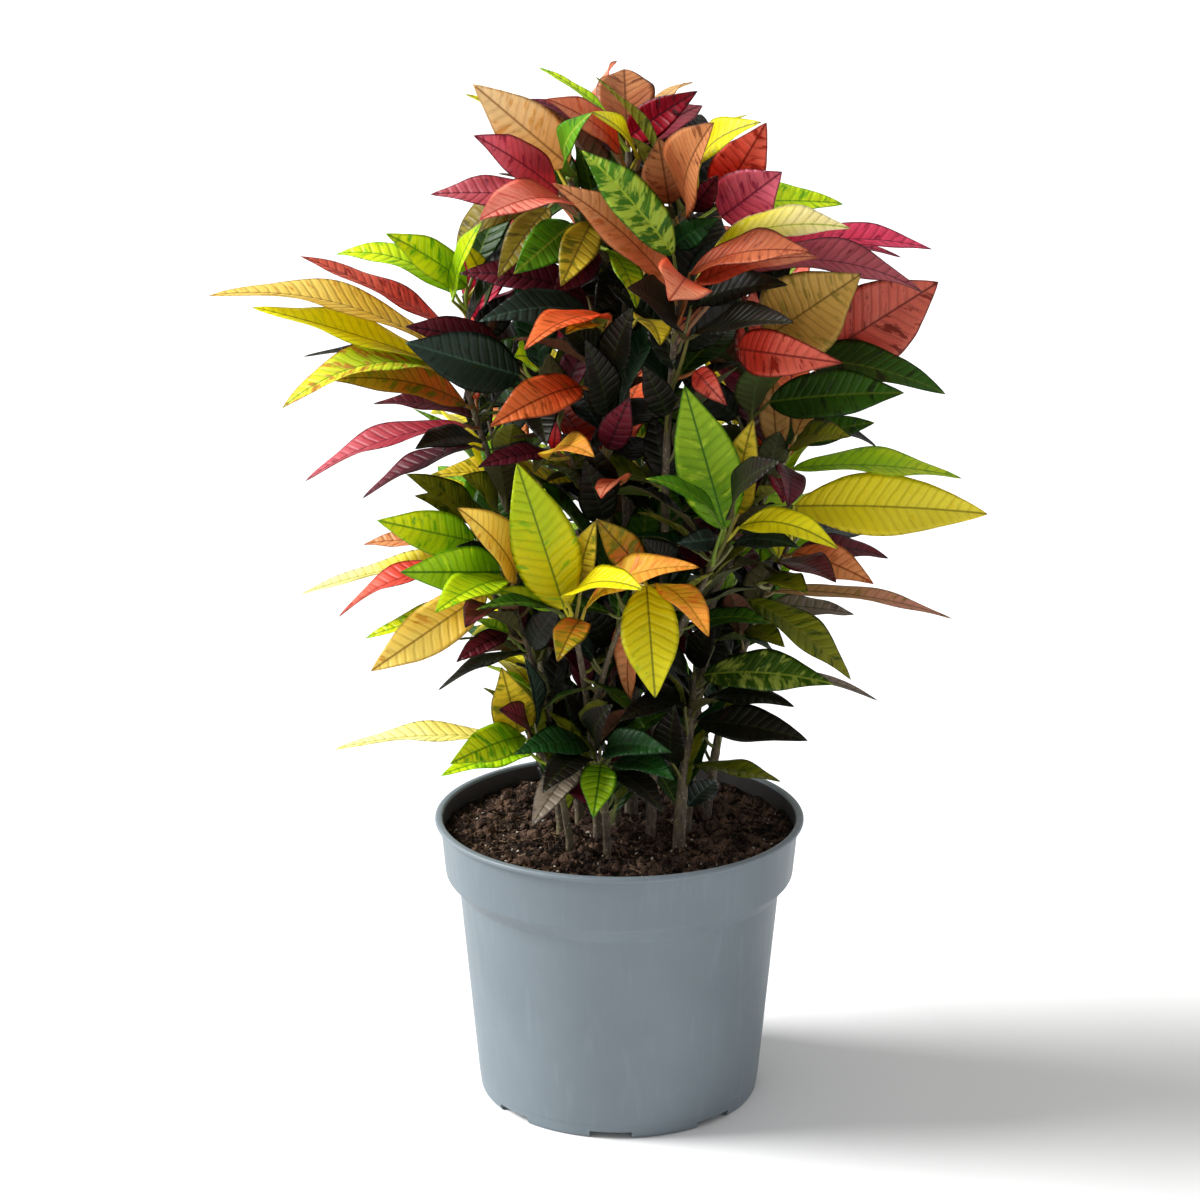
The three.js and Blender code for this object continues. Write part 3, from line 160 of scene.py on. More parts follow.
# As read from the viewer, on the upright sheet through the pot's axis, in mm. A stem: its foot's
# place in the soil, its radius, its branches and its leaves. A branch: how many leaves of a whorl
# go round it and from which share of its length, then its way as points (x, z, depth).
# A leaf: branch, base x, z and depth, tip x, z and depth gained, seen width, arch, kind.
STEMS = {
    "leafy_stem_front": ((20, -20), 3.4, (
        (10, 0.45, (23, 250, -26), (28, 340, -34), (29, 420, -42), (33, 490, -56), (37, 532, -78)),
        (4, 0.5, (26, 290, -29), (48, 332, -48), (66, 370, -66)),
    ), (
        (0, 33, 552, -94, -24, 617, 4, 29, 0.1, "green_mottled"),
        (0, 31, 533, -84, -42, 597, -14, 27, 0.08, "orange_tan"),
        (0, 40, 538, -94, 30, 524, -84, 38, 0.05, "coral"),
        (0, 57, 556, -60, 142, 569, -40, 19, 0.1, "cream_yellow"),
        (0, 43, 541, -86, 118, 560, -46, 18, 0.08, "rust"),
        (0, 43, 532, -94, 123, 551, -52, 15, 0.08, "coral"),
        (0, 78, 551, -24, 193, 556, 0, 16, 0.08, "crimson"),
        (0, 72, 543, -48, 188, 529, -12, 20, 0.12, "rose_dark"),
        (0, 75, 560, -5, 174, 551, 10, 9, 0.06, "crimson"),
        (0, 47, 480, -56, 67, 458, -40, 17, 0.1, "red"),
        (1, 67, 378, -74, 40, 471, -14, 42, 0.07, "green_bright"),
        (1, 75, 388, -58, 84, 450, -34, 25, 0.07, "olive_gold"),
        (1, 75, 379, -72, 139, 365, -52, 18, 0.16, "yellow"),
        (1, 72, 386, -66, 101, 422, -56, 13, 0.08, "dark"),
        (1, 65, 378, -74, 16, 411, -44, 10, 0.1, "green"),
        (1, 72, 368, -60, 114, 366, -40, 14, 0.1, "slate"),
        (1, 62, 372, -66, 36, 360, -62, 16, 0.1, "slate"),
        (0, 28, 336, -30, 14, 372, -44, 20, 0.08, "dark"),
        (0, 30, 408, -38, 20, 452, -30, 22, 0.08, "dark"),
        (0, 44, 520, -60, 104, 534, -50, 18, 0.08, "dark"),
        (0, 42, 500, -62, 108, 510, -60, 14, 0.06, "dark"),
    )),
    "leafy_stem_centre_low": ((-14, -16), 3.0, (
        (3, 0.4, (-18, 240, -24), (-24, 285, -46), (-31, 322, -76)),
        (2, 0.5, (-19, 250, -28), (-4, 302, -56), (15, 346, -78)),
    ), (
        (0, -35, 325, -82, -65, 421, -14, 44, 0.07, "yellow_lime"),
        (0, -25, 340, -68, -15, 384, -60, 20, 0.08, "olive_gold"),
        (0, -34, 331, -88, 15, 338, -74, 13, 0.1, "yellow"),
        (0, -25, 318, -84, -40, 290, -60, 22, 0.08, "orange_olive"),
        (0, -22, 326, -84, 51, 353, -42, 17, 0.12, "yellow_orange"),
        (0, -36, 322, -76, -92, 325, -50, 8, 0.08, "green_dark"),
        (0, -40, 326, -72, -80, 338, -52, 14, 0.08, "yellow_green"),
        (1, 14, 352, -74, -15, 385, -60, 24, 0.08, "orange_olive"),
        (1, 17, 342, -86, 23, 266, -34, 38, 0.1, "yellow"),
        (1, 13, 330, -60, 7, 265, -24, 20, 0.08, "orange_tan"),
        (1, 24, 342, -66, 57, 307, -44, 18, 0.08, "yellow_orange"),
    )),
    "leafy_stem_base_front": ((-8, -44), 2.6, (
        (0, 0, (-10, 202, -50), (-14, 228, -62)),
    ), (
        (0, -12, 221, -68, -17, 184, -52, 24, 0.08, "green_bright"),
        (0, -10, 229, -66, 34, 229, -46, 20, 0.16, "green_glossy"),
        (0, -4, 222, -60, 36, 210, -58, 18, 0.1, "green_glossy"),
        (0, -6, 215, -56, 28, 188, -66, 16, 0.1, "dark"),
        (0, -20, 232, -62, -68, 228, -48, 20, 0.12, "green_glossy"),
        (0, -20, 225, -60, -50, 201, -64, 20, 0.1, "dark"),
        (0, -26, 222, -54, -57, 178, -40, 22, 0.08, "grey"),
        (0, -14, 234, -60, -4, 262, -50, 16, 0.1, "dark"),
    )),
    "leafy_stem_base_left": ((-32, -38), 2.5, (
        (0, 0, (-40, 208, -46), (-58, 238, -56)),
    ), (
        (0, -72, 238, -54, -185, 231, -6, 13, 0.05, "pale_yellow"),
        (0, -62, 240, -60, -110, 221, -60, 26, 0.08, "yellow_green"),
        (0, -57, 228, -58, -116, 213, -44, 16, 0.04, "lime"),
        (0, -65, 242, -56, -76, 287, -44, 30, 0.06, "olive_gold"),
        (0, -58, 244, -60, -78, 264, -72, 15, 0.06, "maroon"),
        (0, -54, 246, -48, -61, 293, -20, 11, 0.06, "slate"),
    )),
    "leafy_stem_left_low": ((-38, -6), 3.0, (
        (7, 0.35, (-44, 240, -14), (-58, 298, -26), (-74, 343, -44)),
        (4, 0.5, (-52, 280, -22), (-78, 330, -12), (-90, 366, -8)),
    ), (
        (0, -84, 338, -48, -160, 284, -30, 33, 0.06, "golden"),
        (0, -80, 322, -32, -163, 306, -6, 17, 0.06, "yellow_green"),
        (0, -72, 345, -60, -118, 323, -60, 22, 0.06, "lime"),
        (0, -76, 350, -50, -140, 350, -58, 34, 0.12, "green_bright"),
        (0, -66, 346, -56, -103, 392, -40, 26, 0.07, "golden"),
        (0, -76, 356, -50, -104, 367, -70, 13, 0.06, "slate"),
        (0, -72, 309, -28, -105, 290, -34, 15, 0.08, "maroon"),
        (0, -56, 297, -22, -117, 271, -10, 9, 0.08, "dark"),
        (0, -68, 324, -36, -99, 313, -70, 13, 0.06, "maroon"),
        (0, -56, 300, -30, -36, 330, -50, 20, 0.08, "dark"),
        (1, -90, 352, -18, -180, 320, -4, 14, 0.12, "red"),
        (1, -92, 360, -6, -204, 335, 10, 13, 0.03, "cream_yellow"),
        (1, -94, 366, 4, -163, 368, 10, 15, 0.06, "orange_tan"),
        (1, -92, 370, -22, -154, 384, -40, 30, 0.08, "yellow_green"),
        (1, -88, 380, -10, -135, 414, -30, 19, 0.08, "olive"),
        (1, -84, 384, 0, -130, 400, -30, 17, 0.08, "olive"),
        (1, -78, 386, -14, -100, 413, -60, 14, 0.08, "olive"),
    )),
    "leafy_stem_centre": ((-2, 4), 3.4, (
        (10, 0.4, (-5, 260, -4), (-8, 350, -18), (-9, 440, -40), (-9, 505, -60)),
        (6, 0.35, (-8, 365, -22), (-32, 425, -36), (-54, 474, -44)),
    ), (
        (0, -6, 513, -68, -60, 493, -68, 15, 0.1, "orange"),
        (0, -18, 514, -50, -88, 511, -44, 24, 0.14, "slate"),
        (0, -20, 526, -30, -100, 541, -14, 24, 0.1, "maroon"),
        (0, 10, 512, -56, 25, 496, -70, 13, 0.08, "olive_gold"),
        (0, -24, 470, -62, -82, 444, -62, 28, 0.1, "orange"),
        (1, -62, 477, -46, -134, 498, -34, 38, 0.08, "slate"),
        (1, -72, 492, -36, -134, 508, -34, 24, 0.08, "maroon"),
        (1, -46, 424, -46, -16, 425, -70, 11, 0.1, "yellow_orange"),
        (1, -45, 427, -42, -90, 418, -44, 14, 0.07, "maroon"),
        (0, -8, 246, -10, -38, 276, -20, 26, 0.08, "dark"),
        (0, -4, 236, -8, -12, 284, 4, 22, 0.06, "dark"),
        (0, -6, 282, -6, -24, 312, 10, 22, 0.06, "dark"),
        (0, -8, 300, -14, -26, 340, -30, 22, 0.06, "dark"),
        (0, -10, 384, -24, -22, 424, -30, 26, 0.08, "dark"),
        (0, -9, 448, -38, -16, 492, -30, 24, 0.08, "dark"),
        (0, -12, 488, -50, -46, 514, -50, 22, 0.08, "dark"),
        (1, -52, 462, -36, -46, 432, -50, 24, 0.08, "dark"),
        (1, -50, 468, -36, -66, 500, -20, 22, 0.08, "dark"),
    )),
    "leafy_stem_left_high": ((-26, 16), 3.2, (
        (8, 0.5, (-38, 270, 12), (-58, 350, 8), (-84, 430, 0), (-104, 496, -14)),
        (7, 0.5, (-70, 388, 6), (-84, 460, 18), (-97, 526, 12)),
    ), (
        (0, -96, 445, -16, -199, 409, -10, 15, 0.08, "rose"),
        (0, -92, 432, -6, -163, 398, -6, 12, 0.06, "maroon"),
        (0, -88, 436, -18, -129, 430, -60, 17, 0.06, "dark"),
        (0, -92, 450, 4, -155, 459, 0, 12, 0.08, "maroon"),
        (0, -96, 458, -20, -182, 474, -34, 25, 0.12, "orange_olive"),
        (0, -112, 480, -28, -212, 456, -36, 20, 0.15, "lime_edged"),
        (0, -106, 490, 2, -198, 489, 10, 7, 0.05, "dark"),
        (0, -116, 485, -26, -229, 520, -10, 20, 0.02, "yellow"),
        (0, -113, 494, -18, -256, 527, -2, 19, 0.1, "golden"),
        (0, -108, 508, -10, -198, 552, -12, 14, 0.02, "red"),
        (1, -102, 528, 8, -176, 553, 4, 19, 0.16, "lime"),
        (1, -95, 533, 8, -145, 566, -40, 25, 0.08, "yellow_green"),
        (1, -104, 524, -12, -85, 573, -34, 9, 0.06, "lime"),
        (1, -84, 538, 16, -96, 560, -50, 14, 0.06, "yellow"),
        (0, -86, 436, -2, -92, 478, 10, 20, 0.08, "dark"),
        (1, -90, 500, 14, -64, 530, 0, 22, 0.08, "dark"),
    )),
    "leafy_stem_right": ((44, -2), 3.4, (
        (9, 0.45, (51, 270, 0), (64, 360, 2), (78, 430, -6), (92, 498, -18)),
        (6, 0.4, (60, 336, 1), (84, 384, -6), (104, 424, -18)),
    ), (
        (0, 92, 502, -24, 149, 541, -50, 58, 0.07, "tan_olive"),
        (0, 120, 486, 8, 197, 536, -4, 56, 0.12, "red_brown"),
        (0, 74, 494, -46, 139, 480, -60, 31, 0.18, "red"),
        (0, 104, 486, -6, 204, 465, -24, 24, 0.08, "green_dark"),
        (0, 93, 460, -20, 178, 466, -50, 32, 0.04, "green_dark"),
        (0, 96, 456, 14, 162, 431, 14, 10, 0.06, "dark"),
        (1, 106, 434, 4, 160, 447, 10, 18, 0.06, "green_dark"),
        (1, 107, 430, -22, 145, 438, -60, 15, 0.08, "olive"),
        (1, 108, 417, -20, 216, 411, -10, 15, 0.05, "lime"),
        (1, 102, 420, -30, 106, 392, -60, 17, 0.08, "maroon"),
        (0, 60, 300, 8, 78, 345, 30, 20, 0.08, "dark"),
        (0, 74, 450, -2, 36, 480, -10, 24, 0.08, "dark"),
    )),
    "leafy_stem_right_low": ((58, 22), 3.2, (
        (9, 0.3, (66, 250, 22), (84, 312, 12), (108, 370, -10)),
    ), (
        (0, 110, 393, -18, 233, 388, -20, 41, 0.04, "yellow_deep"),
        (0, 110, 362, -22, 162, 342, -54, 23, 0.08, "orange_tan"),
        (0, 114, 366, 2, 171, 359, 14, 13, 0.06, "maroon"),
        (0, 114, 374, 8, 160, 374, 60, 14, 0.06, "slate"),
        (0, 100, 356, -22, 138, 343, -70, 14, 0.06, "maroon"),
        (0, 98, 337, -6, 213, 319, 4, 9, 0.05, "tan_pink"),
        (0, 95, 328, 10, 150, 322, 20, 12, 0.02, "grey"),
        (0, 88, 342, -16, 120, 336, -70, 11, 0.06, "olive"),
        (0, 82, 332, -20, 149, 278, -34, 21, 0.07, "olive"),
        (0, 82, 312, 0, 106, 300, -60, 15, 0.08, "olive"),
        (0, 72, 262, 30, 66, 318, 20, 26, 0.08, "dark"),
    )),
    "leafy_stem_base_right": ((38, -34), 4.2, (
        (0, 0, (41, 205, -30), (45, 240, -22), (48, 280, -16)),
    ), (
        (0, 53, 281, -20, 138, 275, -40, 27, 0.08, "mottled_dark"),
        (0, 56, 276, -6, 167, 264, 4, 9, 0.1, "grey"),
        (0, 55, 266, -16, 113, 260, -34, 13, 0.06, "dark"),
        (0, 50, 250, -20, 122, 237, -40, 24, 0.06, "dark"),
        (0, 48, 220, -24, 105, 209, -30, 10, 0.03, "olive"),
        (0, 44, 280, -26, 12, 300, -60, 18, 0.08, "dark"),
        (0, 48, 288, -20, 62, 318, -60, 20, 0.08, "dark"),
        (0, 42, 262, -28, 0, 250, -50, 16, 0.08, "dark"),
        (0, 36, 256, -24, 12, 284, -30, 22, 0.08, "dark"),
        (0, 34, 222, -36, 36, 262, -40, 22, 0.06, "dark"),
    )),
    "leafy_stem_top": ((8, 26), 4.4, (
        (11, 0.5, (9, 260, 22), (6, 360, 18), (3, 450, 10), (4, 530, 6), (4, 575, 14), (5, 616, 20)),
        (6, 0.3, (4, 525, 6), (-14, 560, -4), (-32, 600, -16)),
        (6, 0.3, (3, 510, 7), (24, 552, -10), (45, 588, -28)),
    ), (
        (1, -32, 608, -18, -90, 657, -30, 38, 0.12, "tan_light"),
        (1, -38, 604, -4, -95, 651, 10, 13, 0.1, "yellow"),
        (1, -38, 591, -24, -90, 626, -56, 26, 0.04, "rose_bright"),
        (1, -30, 584, -40, -87, 574, -62, 22, 0.08, "salmon"),
        (1, -42, 588, -8, -117, 590, 4, 20, 0.03, "rose"),
        (1, -40, 586, 6, -101, 546, 20, 22, 0.3, "olive_brown"),
        (1, -44, 582, -14, -76, 538, -40, 22, 0.08, "olive_brown"),
        (1, -28, 602, -38, -17, 640, -62, 10, 0.14, "green"),
        (1, -18, 573, -44, -37, 533, -50, 25, 0.06, "olive_gold"),
        (1, -30, 572, -16, -66, 541, -50, 28, 0.06, "green"),
        (1, -8, 556, -30, 10, 519, -50, 14, 0.08, "yellow_green"),
        (0, -8, 638, 20, -50, 667, 20, 6, 0.04, "lime"),
        (0, 0, 616, 2, -46, 648, -50, 20, 0.08, "coral"),
        (0, 10, 612, -2, -18, 640, -74, 9, 0.06, "yellow"),
        (0, 4, 624, 20, 47, 653, -10, 24, 0.1, "crimson_dark"),
        (0, 4, 626, 32, 2, 666, 50, 40, 0.1, "brown"),
        (0, -6, 626, 34, -2, 671, 70, 10, 0.1, "coral"),
        (0, 14, 620, 22, 50, 644, 40, 18, 0.08, "rose_dark"),
        (0, 12, 626, 26, 44, 658, 60, 9, 0.06, "tan"),
        (2, 47, 595, -70, 86, 634, -64, 13, 0.14, "yellow"),
        (2, 41, 582, -44, 57, 634, -64, 26, 0.06, "brown"),
        (2, 30, 584, -40, 23, 625, -56, 31, 0.06, "brown"),
        (2, 34, 560, -40, 61, 576, -40, 19, 0.08, "green_glossy"),
        (2, 62, 588, -16, 89, 634, -40, 36, 0.08, "red"),
        (2, 62, 576, -34, 99, 604, -72, 42, 0.08, "rose_bright"),
        (2, 44, 580, -50, 60, 602, -86, 18, 0.06, "maroon"),
        (2, 62, 584, -2, 137, 584, 16, 19, 0.03, "lime"),
        (0, 14, 236, 26, 44, 282, 24, 26, 0.08, "dark"),
        (0, 6, 506, 6, 36, 540, 0, 26, 0.08, "dark"),
    )),
    "leafy_stem_back": ((2, 50), 3.6, (
        (14, 0.35, (0, 260, 58), (-6, 360, 66), (-6, 450, 72), (0, 530, 70)),
        (10, 0.3, (-2, 320, 63), (10, 380, 92), (20, 440, 112)),
    ), ()),
    "leafy_stem_back_left": ((-36, 44), 3.4, (
        (16, 0.3, (-44, 260, 56), (-60, 340, 68), (-72, 420, 74)),
        (13, 0.3, (-48, 280, 58), (-52, 330, 88), (-54, 376, 110)),
    ), ()),
    "leafy_stem_back_right": ((38, 48), 3.4, (
        (17, 0.3, (46, 260, 58), (60, 340, 66), (76, 430, 70), (84, 490, 62)),
        (13, 0.3, (50, 290, 60), (66, 330, 86), (76, 366, 104)),
    ), ()),
}

# ------------------------------------------------------------------ small helpers


def paint(hex_code):
    """An sRGB hex colour as the linear colour that the shaders work in."""
    parts = [int(hex_code[at:at + 2], 16) / 255 for at in (0, 2, 4)]
    return tuple(p / 12.92 if p <= 0.04045 else ((p + 0.055) / 1.055) ** 2.4 for p in parts) + (1.0,)


# Kinds of node: a type's name, or that name with the settings that go with it.
NOISE, VORONOI = "ShaderNodeTexNoise", "ShaderNodeTexVoronoi"
ATTRIBUTE, TEXTURE_PLACE, MAPPING = "ShaderNodeAttribute", "ShaderNodeTexCoord", "ShaderNodeMapping"
SEPARATE, COMBINE = "ShaderNodeSeparateXYZ", "ShaderNodeCombineXYZ"
BUMP, PRINCIPLED = "ShaderNodeBump", "ShaderNodeBsdfPrincipled"
SURFACE_OUTPUT = "ShaderNodeOutputMaterial"
GROUP_INPUT, GROUP_OUTPUT = "NodeGroupInput", "NodeGroupOutput"
POSITION, SET_POSITION = "GeometryNodeInputPosition", "GeometryNodeSetPosition"
INSTANCES, REALIZE = "GeometryNodeInstanceOnPoints", "GeometryNodeRealizeInstances"
SET_MATERIAL, SHADE_SMOOTH = "GeometryNodeSetMaterial", "GeometryNodeSetShadeSmooth"
(ABSOLUTE, ADD, GREATER_THAN, LESS_THAN, MAXIMUM, MINIMUM, MULTIPLY, MULTIPLY_ADD, PINGPONG,
 POWER, SINE, SUBTRACT) = (("ShaderNodeMath", {"operation": name}) for name in (
     "ABSOLUTE", "ADD", "GREATER_THAN", "LESS_THAN", "MAXIMUM", "MINIMUM", "MULTIPLY",
     "MULTIPLY_ADD", "PINGPONG", "POWER", "SINE", "SUBTRACT"))
ADD_VECTORS, SUBTRACT_VECTORS, MULTIPLY_VECTORS, SCALE_VECTOR, VECTOR_LENGTH = (
    ("ShaderNodeVectorMath", {"operation": name})
    for name in ("ADD", "SUBTRACT", "MULTIPLY", "SCALE", "LENGTH"))
MAP_RANGE = "ShaderNodeMapRange"
SMOOTH_RANGE = MAP_RANGE, {"interpolation_type": "SMOOTHSTEP"}
MIX_COLOURS, MIX_VALUES = (("ShaderNodeMix", {"data_type": name}) for name in ("RGBA", "FLOAT"))
RANDOM_VECTOR = "FunctionNodeRandomValue", {"data_type": "FLOAT_VECTOR"}
NAMED_VALUE, NAMED_VECTOR = (
    ("GeometryNodeInputNamedAttribute", {"data_type": name}) for name in ("FLOAT", "FLOAT_VECTOR"))
STORE_VALUE, STORE_VECTOR, STORE_ON_FACES = (
    ("GeometryNodeStoreNamedAttribute", {"data_type": name, "domain": domain})
    for name, domain in (("FLOAT", "POINT"), ("FLOAT_VECTOR", "POINT"), ("FLOAT", "FACE")))


def node(tree, kind, inputs=(), **settings):
    """Adds a node with its settings; each input gets a value, or a link from a socket or a node."""
    if isinstance(kind, tuple):
        kind, settings = kind[0], {**kind[1], **settings}
    made = tree.nodes.new(kind)
    for name, value in settings.items():
        setattr(made, name, value)
    for place, value in inputs.items() if isinstance(inputs, dict) else enumerate(inputs):
        if isinstance(value, bpy.types.Node):
            value = next(socket for socket in value.outputs if socket.enabled)
        if isinstance(value, bpy.types.NodeSocket):
            tree.links.new(value, made.inputs[place])
        else:
            made.inputs[place].default_value = value
    return made


def draw(row, column):
    """A repeatable draw between 0 and 1 for a pair of whole numbers."""
    whole = 0xFFFFFFFF
    value = (row * 374761393 + column * 668265263) & whole
    value = ((value ^ (value >> 13)) * 1274126177) & whole
    return (value ^ (value >> 16)) / 4294967296


def mix(low, high, share):
    return low + (high - low) * share


def across(vector, axis):
    """The vector without its part along the unit axis, at unit length."""
    return (vector - axis * vector.dot(axis)).normalized()


def on_sheet(x, z, depth):
    """The point that the viewer sees at (x, z) of the sheet, brought to the given depth."""
    scale = 1 - depth / EYE.y
    return Vector((EYE.x + (x - EYE.x) * scale, depth, EYE.z + (z - EYE.z) * scale))


def object_of(name, points, faces=(), edges=()):
    """A mesh object from points in millimetres."""
    mesh = bpy.data.meshes.new(name)
    mesh.from_pydata([Vector(point) * MM for point in points], list(edges), list(faces))
    mesh.update()
    made = bpy.data.objects.new(name, mesh)
    bpy.context.scene.collection.objects.link(made)
    return made


def give(mesh, name, kind, values):
    """Stores a named value for each point of a mesh."""
    attribute = mesh.attributes.new(name, kind, "POINT")
    field = {"FLOAT": "value", "FLOAT_VECTOR": "vector", "FLOAT_COLOR": "color"}[kind]
    flat = list(values) if kind == "FLOAT" else [part for value in values for part in value]
    attribute.data.foreach_set(field, flat)


def grown(source, tree, settings, name):
    """The plain mesh object that a tree makes of a source object, which is then removed."""
    modifier = source.modifiers.new("growth", "NODES")
    modifier.node_group = tree
    for item in tree.interface.items_tree:
        if item.item_type == "SOCKET" and item.in_out == "INPUT" and item.name in settings:
            modifier[item.identifier] = settings[item.name]
    bpy.context.view_layer.update()
    evaluated = source.evaluated_get(bpy.context.evaluated_depsgraph_get())
    mesh = bpy.data.meshes.new_from_object(evaluated)
    mesh.name = name
    made = bpy.data.objects.new(name, mesh)
    bpy.context.scene.collection.objects.link(made)
    bpy.data.objects.remove(source)
    return made


def joined(pieces, name):
    """One object of several, whose materials stay with their faces."""
    bpy.ops.object.select_all(action="DESELECT")
    for piece in pieces:
        piece.select_set(True)
    bpy.context.view_layer.objects.active = pieces[0]
    bpy.ops.object.join()
    pieces[0].name = name
    pieces[0].data.name = name
    return pieces[0]


def new_tree(name, inputs):
    """A geometry tree with a geometry input, named inputs and a geometry output."""
    tree = bpy.data.node_groups.new(name, "GeometryNodeTree")
    tree.interface.new_socket("Geometry", in_out="INPUT", socket_type="NodeSocketGeometry")
    for label, (kind, value) in inputs.items():
        socket = tree.interface.new_socket(label, in_out="INPUT", socket_type=kind)
        if value is not None:
            socket.default_value = value
    tree.interface.new_socket("Geometry", in_out="OUTPUT", socket_type="NodeSocketGeometry")
    return tree


def new_material(name):
    material = bpy.data.materials.new(name)
    material.use_nodes = True
    material.node_tree.nodes.clear()
    return material, material.node_tree


# ------------------------------------------------------------------ branches and leaves by their rules


def paths_of(foot, branches):
    """The points that each branch passes, the first of them from the stem's collar in the soil."""
    paths = [[on_sheet(*place) for place in way] for _, _, *way in branches]
    paths[0].insert(0, Vector((*foot, STEM_COLLAR)))
    return paths


def place_on(points, share):
    """The place and direction at a share of the smooth way through the points."""
    spans = len(points) - 1
    step = min(int(share * spans), spans - 1)
    t = share * spans - step
    before = points[step - 1] if step > 0 else points[0] * 2 - points[1]
    after = points[step + 2] if step + 2 <= spans else points[-1] * 2 - points[-2]
    start, end = points[step], points[step + 1]
    leave, arrive = (end - before) * 0.5, (after - start) * 0.5
    second = start * -3 + end * 3 - leave * 2 - arrive
    third = start * 2 - end * 2 + leave + arrive
    place = start + leave * t + second * t ** 2 + third * t ** 3
    return place, (leave + second * 2 * t + third * 3 * t ** 2).normalized()


# Small turns that a leaf may have taken to pass its neighbours: depth of the tip, lift of the tip
# and depth of the whole leaf; for a leaf set by rule, turn and lift in degrees and share of length.
SEEN_TURNS = (
    (0, 0, 0), (-14, 0, 0), (14, 0, 0), (-28, 0, 0), (28, 0, 0), (0, 5, 0), (0, -5, 0),
    (-42, 0, 0), (42, 0, 0), (-20, 6, 0), (20, 6, 0), (-20, -6, 0), (20, -6, 0), (0, 0, -10),
    (0, 0, 10), (-20, 0, -10), (20, 0, 10), (-60, 0, 0), (60, 0, 0), (-20, 0, -20), (20, 0, 20),
    (-40, 9, -10), (40, 9, 10), (-40, -9, -10), (40, -9, 10), (-40, 0, -30), (40, 0, 30),
)
RULE_TURNS = (
    (0, 0, 1), (12, 0, 1), (-12, 0, 1), (0, 12, 1), (0, -12, 1), (24, 8, 0.94), (-24, 8, 0.94),
    (24, -8, 0.94), (-24, -8, 0.94), (36, 0, 0.86), (-36, 0, 0.86), (0, 24, 0.86), (0, -24, 0.86),
    (44, 14, 0.8), (-44, 14, 0.8), (44, -14, 0.8), (-44, -14, 0.8),
)


def half_width_share(share):
    return math.sin(math.pi * share ** 0.9) ** 0.8 * (1 - 0.16 * share)


def root_of(points, base, along, taken):
    behind = base - along * 14 - UP * 6
    places = [place_on(points, step / WAY_STEPS)[0] for step in range(1, WAY_STEPS + 1)]
    free = [p for p in places if all((p - other).length > ROOT_SPACING for other in taken)]
    return min(free, key=lambda place: (place - behind).length)


def seen_leaf(row, points, taken, seed, turn):
    _, base_x, base_z, depth, tip_x, tip_z, gained, seen_width, arch, kind = row
    tip_shift, lift, shift = turn
    base = on_sheet(base_x, base_z, depth + shift)
    tip = on_sheet(tip_x, tip_z + lift, depth + gained + shift + tip_shift)
    length = (tip - base).length
    along = (tip - base).normalized()
    width = max(seen_width, min(WIDTH_SHARE * length, seen_width * FORESHORTENED))
    facing = across(EYE - base, along)
    side = along.cross(facing)
    if side.z < 0:
        side.negate()
    share = min(1, seen_width / width)
    normal = facing * share + side * math.sqrt(1 - share * share)
    stations = (0.1, 0.48, 0.8) if seen_width < BROAD_FROM else (0.18, 0.48, 0.8)
    return SimpleNamespace(root=root_of(points, base, along, taken), base=base, along=along,
                           length=length, normal=normal, width=width, arch=arch, seed=seed,
                           stations=stations, kind=kind)


# Leaves set by rule: in a whorl their rise in degrees goes from the youngest's to the oldest's, with
# a stray; inner ones rise anywhere between the two. Lengths are in mm.
WHORL_RISE, WHORL_STRAY, INNER_RISE = (58, -6), (-10, 10), (-12, 48)
WHORL_LENGTH, YOUNGEST_SHARE, INNER_LENGTH = (92, 128), 0.82, (44, 76)
# How such a leaf sits: its stalk's run along the leaf and its rise in mm, the most that it
# rolls, its width by its length, its arch, and the shares where its solid has edge corners.
WHORL_HABIT = (13, 4, 0.35, (0.34, 0.41), (0.05, 0.15), (0.28, 0.72))
INNER_HABIT = (9, 2, 0.5, (0.38, 0.46), (0.04, 0.12), ())


def leaf_towards(heading, rise, length, root, seed, habit):
    """A leaf from its root on the wood, turned to a heading and raised, both in radians."""
    run, lift, roll, widths, arches, stations = habit
    flat = Vector((math.cos(heading), math.sin(heading), 0))
    along = flat * math.cos(rise) + UP * math.sin(rise)
    level = across(UP, along)
    normal = (level + along.cross(level) * mix(-roll, roll, draw(seed, 4))).normalized()
    return SimpleNamespace(root=root, base=root + along * run + UP * lift, along=along,
                           length=length, normal=normal, width=length * mix(*widths, draw(seed, 5)),
                           arch=mix(*arches, draw(seed, 6)), seed=seed, stations=stations, kind=None)


def rule_leaf(whorl, order, points, seed, turn):
    """A leaf of a whorl, whose oldest leaves sit lowest and spread most."""
    count, start = whorl
    age = order / count
    swing, lift, scale = turn
    heading = order * GOLDEN_TURN + draw(seed, 1) * 0.9 + math.radians(swing)
    rise = math.radians(mix(*WHORL_RISE, age) + mix(*WHORL_STRAY, draw(seed, 2)) + lift)
    length = mix(*WHORL_LENGTH, draw(seed, 3)) * mix(YOUNGEST_SHARE, 1, min(1, age * 3)) * scale
    root = place_on(points, 1 - age * (1 - start))[0]
    return leaf_towards(heading, rise, length, root, seed, WHORL_HABIT)


def mid_line(leaf, share):
    bow = leaf.normal * (leaf.length * leaf.arch * 4 * share * (1 - share))
    return leaf.base + leaf.along * (leaf.length * share) + bow


def axes_of(leaf):
    """The unit directions to a leaf's left edge and out of its upper side."""
    left = across(leaf.normal.cross(leaf.along) + leaf.normal * 0.05, leaf.along)
    return left, leaf.along.cross(left)


def ripple_of(leaf, half, share, phase):
    return min(RIPPLE, half * 0.12) * math.sin(share * RIPPLE_RATE + phase)


